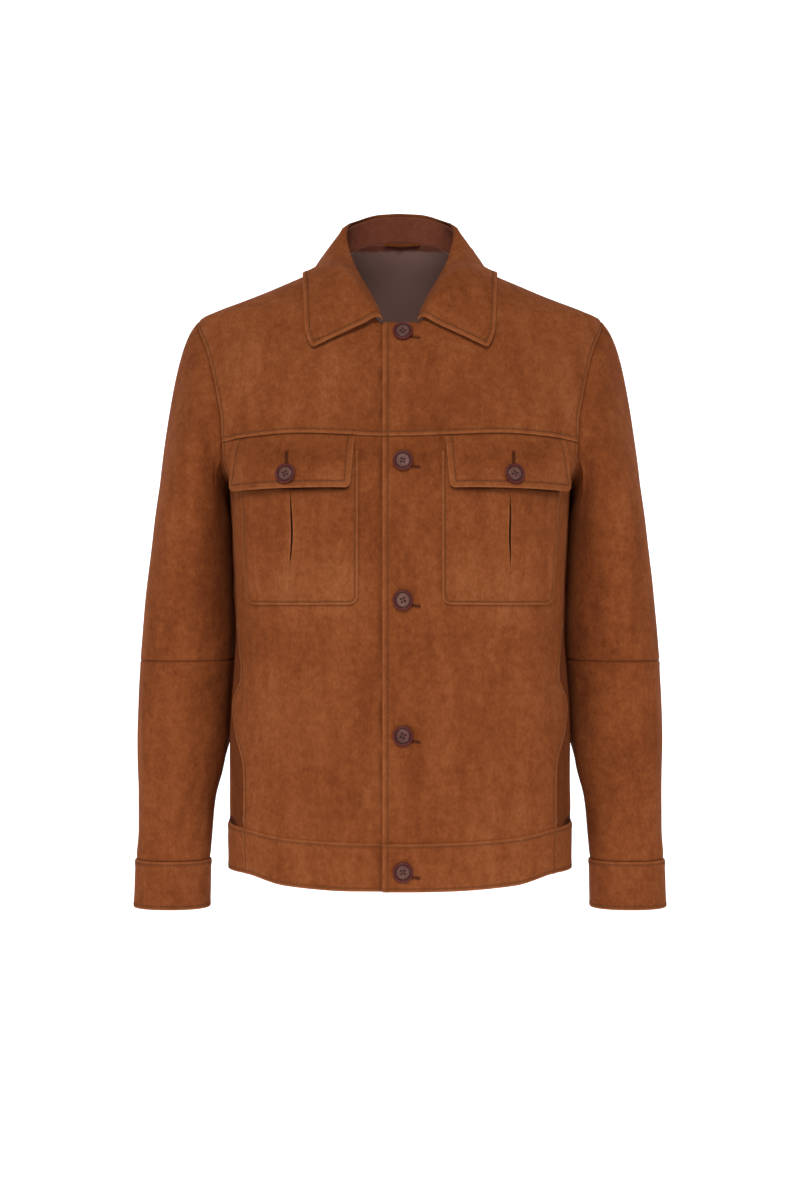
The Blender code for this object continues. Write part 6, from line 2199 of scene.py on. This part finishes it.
total = 0
for number, name in enumerate(list(sewn)):
    rows = [row for seam, inset in sewn[name].panel.stitches for row in seam_rows(name, seam, inset)]
    piece = lay_stitches(name.replace("_cloth", "_stitches"), rows, seed=number)
    if piece:
        total += len(piece.data.polygons)
print("faces of all seam stitches:", total)

# %% [markdown]
# ## Buttonholes and tacks
# A worked buttonhole is a narrow slit with close stitches all round it, set across the row. The
# front ones lie level and the flap ones stand upright. A bar of the same stitches holds the ends
# of the hand pockets and the top of the waistband's side seam.
# %% Work the buttonholes and tacks
HoleRow = namedtuple("HoleRow", "x_1 z_1 x_2 z_2")
HOLE_HALF_WIDTH = 1.25
HOLE_RISE = 0.25
SLIT_RADIUS, SLIT_RISE = 0.42, 0.02
LEVEL_HOLE = HoleRow(8.0, -5.5, 16.5, -6.5)
UPRIGHT_HOLE = HoleRow(-0.5, 9.0, -0.5, 23.0)
TACK_HEIGHTS = (-444.0, -392.0, -596.0)
TACK_HALF_HEIGHT = 2.5
TACK_RISE = 0.35


def on_cloth(name, places, rise):
    """Places in the front view, set on a piece."""
    found = [landing(name, x, z) for x, z in places]
    return [point + normal * rise for point, normal in (f for f in found if f is not None)]


def hole_outline(row, half, steps=7):
    """A long narrow ring round a slit, as places in the front view."""
    start, end = np.array([row.x_1, row.z_1]), np.array([row.x_2, row.z_2])
    ahead = (end - start) / np.linalg.norm(end - start)
    beside = np.array([-ahead[1], ahead[0]])
    ring = []
    for centre, first in ((end, -1), (start, 1)):
        for t in np.linspace(0, math.pi, steps):
            ring.append(centre + half * first * (beside * math.cos(t) - ahead * math.sin(t)))
    return ring + [ring[0]]


def work_hole(name, carrier, row, number):
    places = on_cloth(carrier, hole_outline(row, HOLE_HALF_WIDTH), HOLE_RISE)
    lay_stitches(name + "_hole_stitches", [places], seed=number, thread=HOLE_THREAD, pitch=1.3,
                 length=1.9, thickness=0.6, hole=0.35, across=1)
    length = math.hypot(row.x_2 - row.x_1, row.z_2 - row.z_1)
    steps = np.linspace(0, 1, max(int(length / 1.5), 4))
    middle = [(row.x_1 + (row.x_2 - row.x_1) * t, row.z_1 + (row.z_2 - row.z_1) * t) for t in steps]
    slit_points, slit_faces = tube_mesh([on_cloth(carrier, middle, SLIT_RISE)], SLIT_RADIUS, 8)
    # Painted shade: a dark tube stands for the shade in the buttonhole's slit.
    slit = make_mesh(name + "_slit", slit_points, slit_faces, PAINTED_SHADE_FINISH)
    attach(slit, "root")


for number, (name, side, x, z) in enumerate(BUTTONS):
    hole = UPRIGHT_HOLE if name.startswith("button_pocket") else LEVEL_HOLE
    row = HoleRow(side * (x + hole.x_1), z + hole.z_1, side * (x + hole.x_2), z + hole.z_2)
    work_hole(name, carriers[name], row, number)

for word, side in SIDES:
    tacks = []
    cloth = sewn[f"front_{word}_cloth"]
    for z in TACK_HEIGHTS:
        spots = cloth.surface[(cloth.panel.away["side"] < 5.0) & (abs(cloth.surface[:, 2] - z) < 3.0)]
        if len(spots):
            centre = spots.mean(0)
            tacks.append([centre + (0, -TACK_RISE, up)
                          for up in np.linspace(-TACK_HALF_HEIGHT, TACK_HALF_HEIGHT, 5)])
    lay_stitches(f"tacks_{word}", tacks, seed=40, pitch=1.0, length=3.4, thickness=0.6, hole=0.2, across=1)
print("buttonholes worked:", len(BUTTONS))

# %% [markdown]
# ## The hanger loop
# A strip 10 mm wide is folded to a third, lies across the inner back neck and is caught down at
# both ends.
# %% Sew the hanger loop
LOOP_LENGTH = 45.0
LOOP_HEIGHT = 2.2
LOOP_INSIDE = 5.7
LOOP_Z = 33.0
LOOP_MIDDLE = 178.0
LOOP_TURN = 20.0
LOOP_WALL = 1.5
LOOP_CUT = 10.0
LOOP_SHOWS = 0.33
LOOP_SAG, LOOP_STANDS_OFF = 0.5, 0.9
LOOP_END = 1.6
angles = np.linspace(LOOP_MIDDLE - LOOP_TURN, LOOP_MIDDLE + LOOP_TURN, 40)[None]
heights = LOOP_Z + (LOOP_HEIGHT * np.linspace(0, 1, 9))[:, None]
swell = np.sin(np.pi * (angles - angles.min()) / (angles.max() - angles.min()))
angles, heights = angles + 0 * heights, heights - LOOP_SAG * swell + 0 * angles
way = body_normal(angles, heights)
inward = LOOP_INSIDE + LOOP_STANDS_OFF * swell
loop_grid = (body_point(angles, heights) - way * inward[..., None])[:, ::-1]
panel = Panel([loop_grid])
panel.lift = LOOP_WALL / 2
panel.flat = (LOOP_LENGTH * MM, LOOP_CUT * MM)
panel.area = LOOP_LENGTH * LOOP_CUT * LOOP_SHOWS * MM ** 2
for name, line in (("top", loop_grid[-1]), ("low", loop_grid[0]), ("left", loop_grid[:, 0]),
                   ("right", loop_grid[:, -1])):
    panel.seam(name, line)
# Painted shade over the whole loop, which sits inside the neck, and a painted highlight along its top edge.
panel.marks["groove"] += 0.8
panel.marks["edge"] += 0.5 * np.exp(-(panel.away["top"] / 0.5) ** 2)
piece = make_cloth("hanger_loop_cloth", panel, LOOP_WALL, SUEDE, 13.0, 0.0)
sew_on(piece, "hanger_loop")
surface = sewn["hanger_loop_cloth"].surface
outermost = surface[np.argsort(abs(surface[:, 0]))[-40:]]
ends = []
for _, side in SIDES:
    centre = outermost[outermost[:, 0] * side > 0].mean(0) - (side * LOOP_END, 0.7, 0)
    ends.append([centre + (0, 0, up) for up in (-LOOP_END, 0, LOOP_END)])
lay_stitches("hanger_loop_stitches", ends, seed=50, pitch=1.4, length=2.4, thickness=0.55, hole=0.2,
             across=1)

# %% [markdown]
# ## The studio sheet
# The pale sheet runs along the floor and curves up behind the jacket. It isn't part of the
# jacket, so it is marked as the stage, and the sizes are measured without it.
# %% Lay the studio sheet
SHEET_HALF_WIDTH = 6.0
SHEET_BEND = [(-4.0, -1.4), (1.5, -1.4), (2.6, -1.25), (3.1, -0.7), (3.3, 0.4), (3.3, 4.0)]
sheet_points = [(x, y, z) for y, z in SHEET_BEND for x in (-SHEET_HALF_WIDTH, SHEET_HALF_WIDTH)]
sheet_faces = [(2 * i, 2 * i + 1, 2 * i + 3, 2 * i + 2) for i in range(len(SHEET_BEND) - 1)]
sheet_mesh = bpy.data.meshes.new("studio_sheet")
sheet_mesh.from_pydata(sheet_points, [], sheet_faces)
paper = Finish("studio_paper")
paper.feed(Base_Color=(0.9, 0.9, 0.9, 1), Roughness=0.9, Emission_Color=(1, 1, 1, 1), Emission_Strength=0.5)
sheet_mesh.materials.append(paper.material)
add_object("studio_sheet", sheet_mesh)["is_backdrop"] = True
print("studio sheet:", len(sheet_faces), "faces")

# %% Measure the sizes and close
size = {"cad": [list(p) for p in cad_box], "visual": [list(p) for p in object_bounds()]}
print("the dressed jacket's box:", [[round(v, 4) for v in p] for p in size["visual"]])
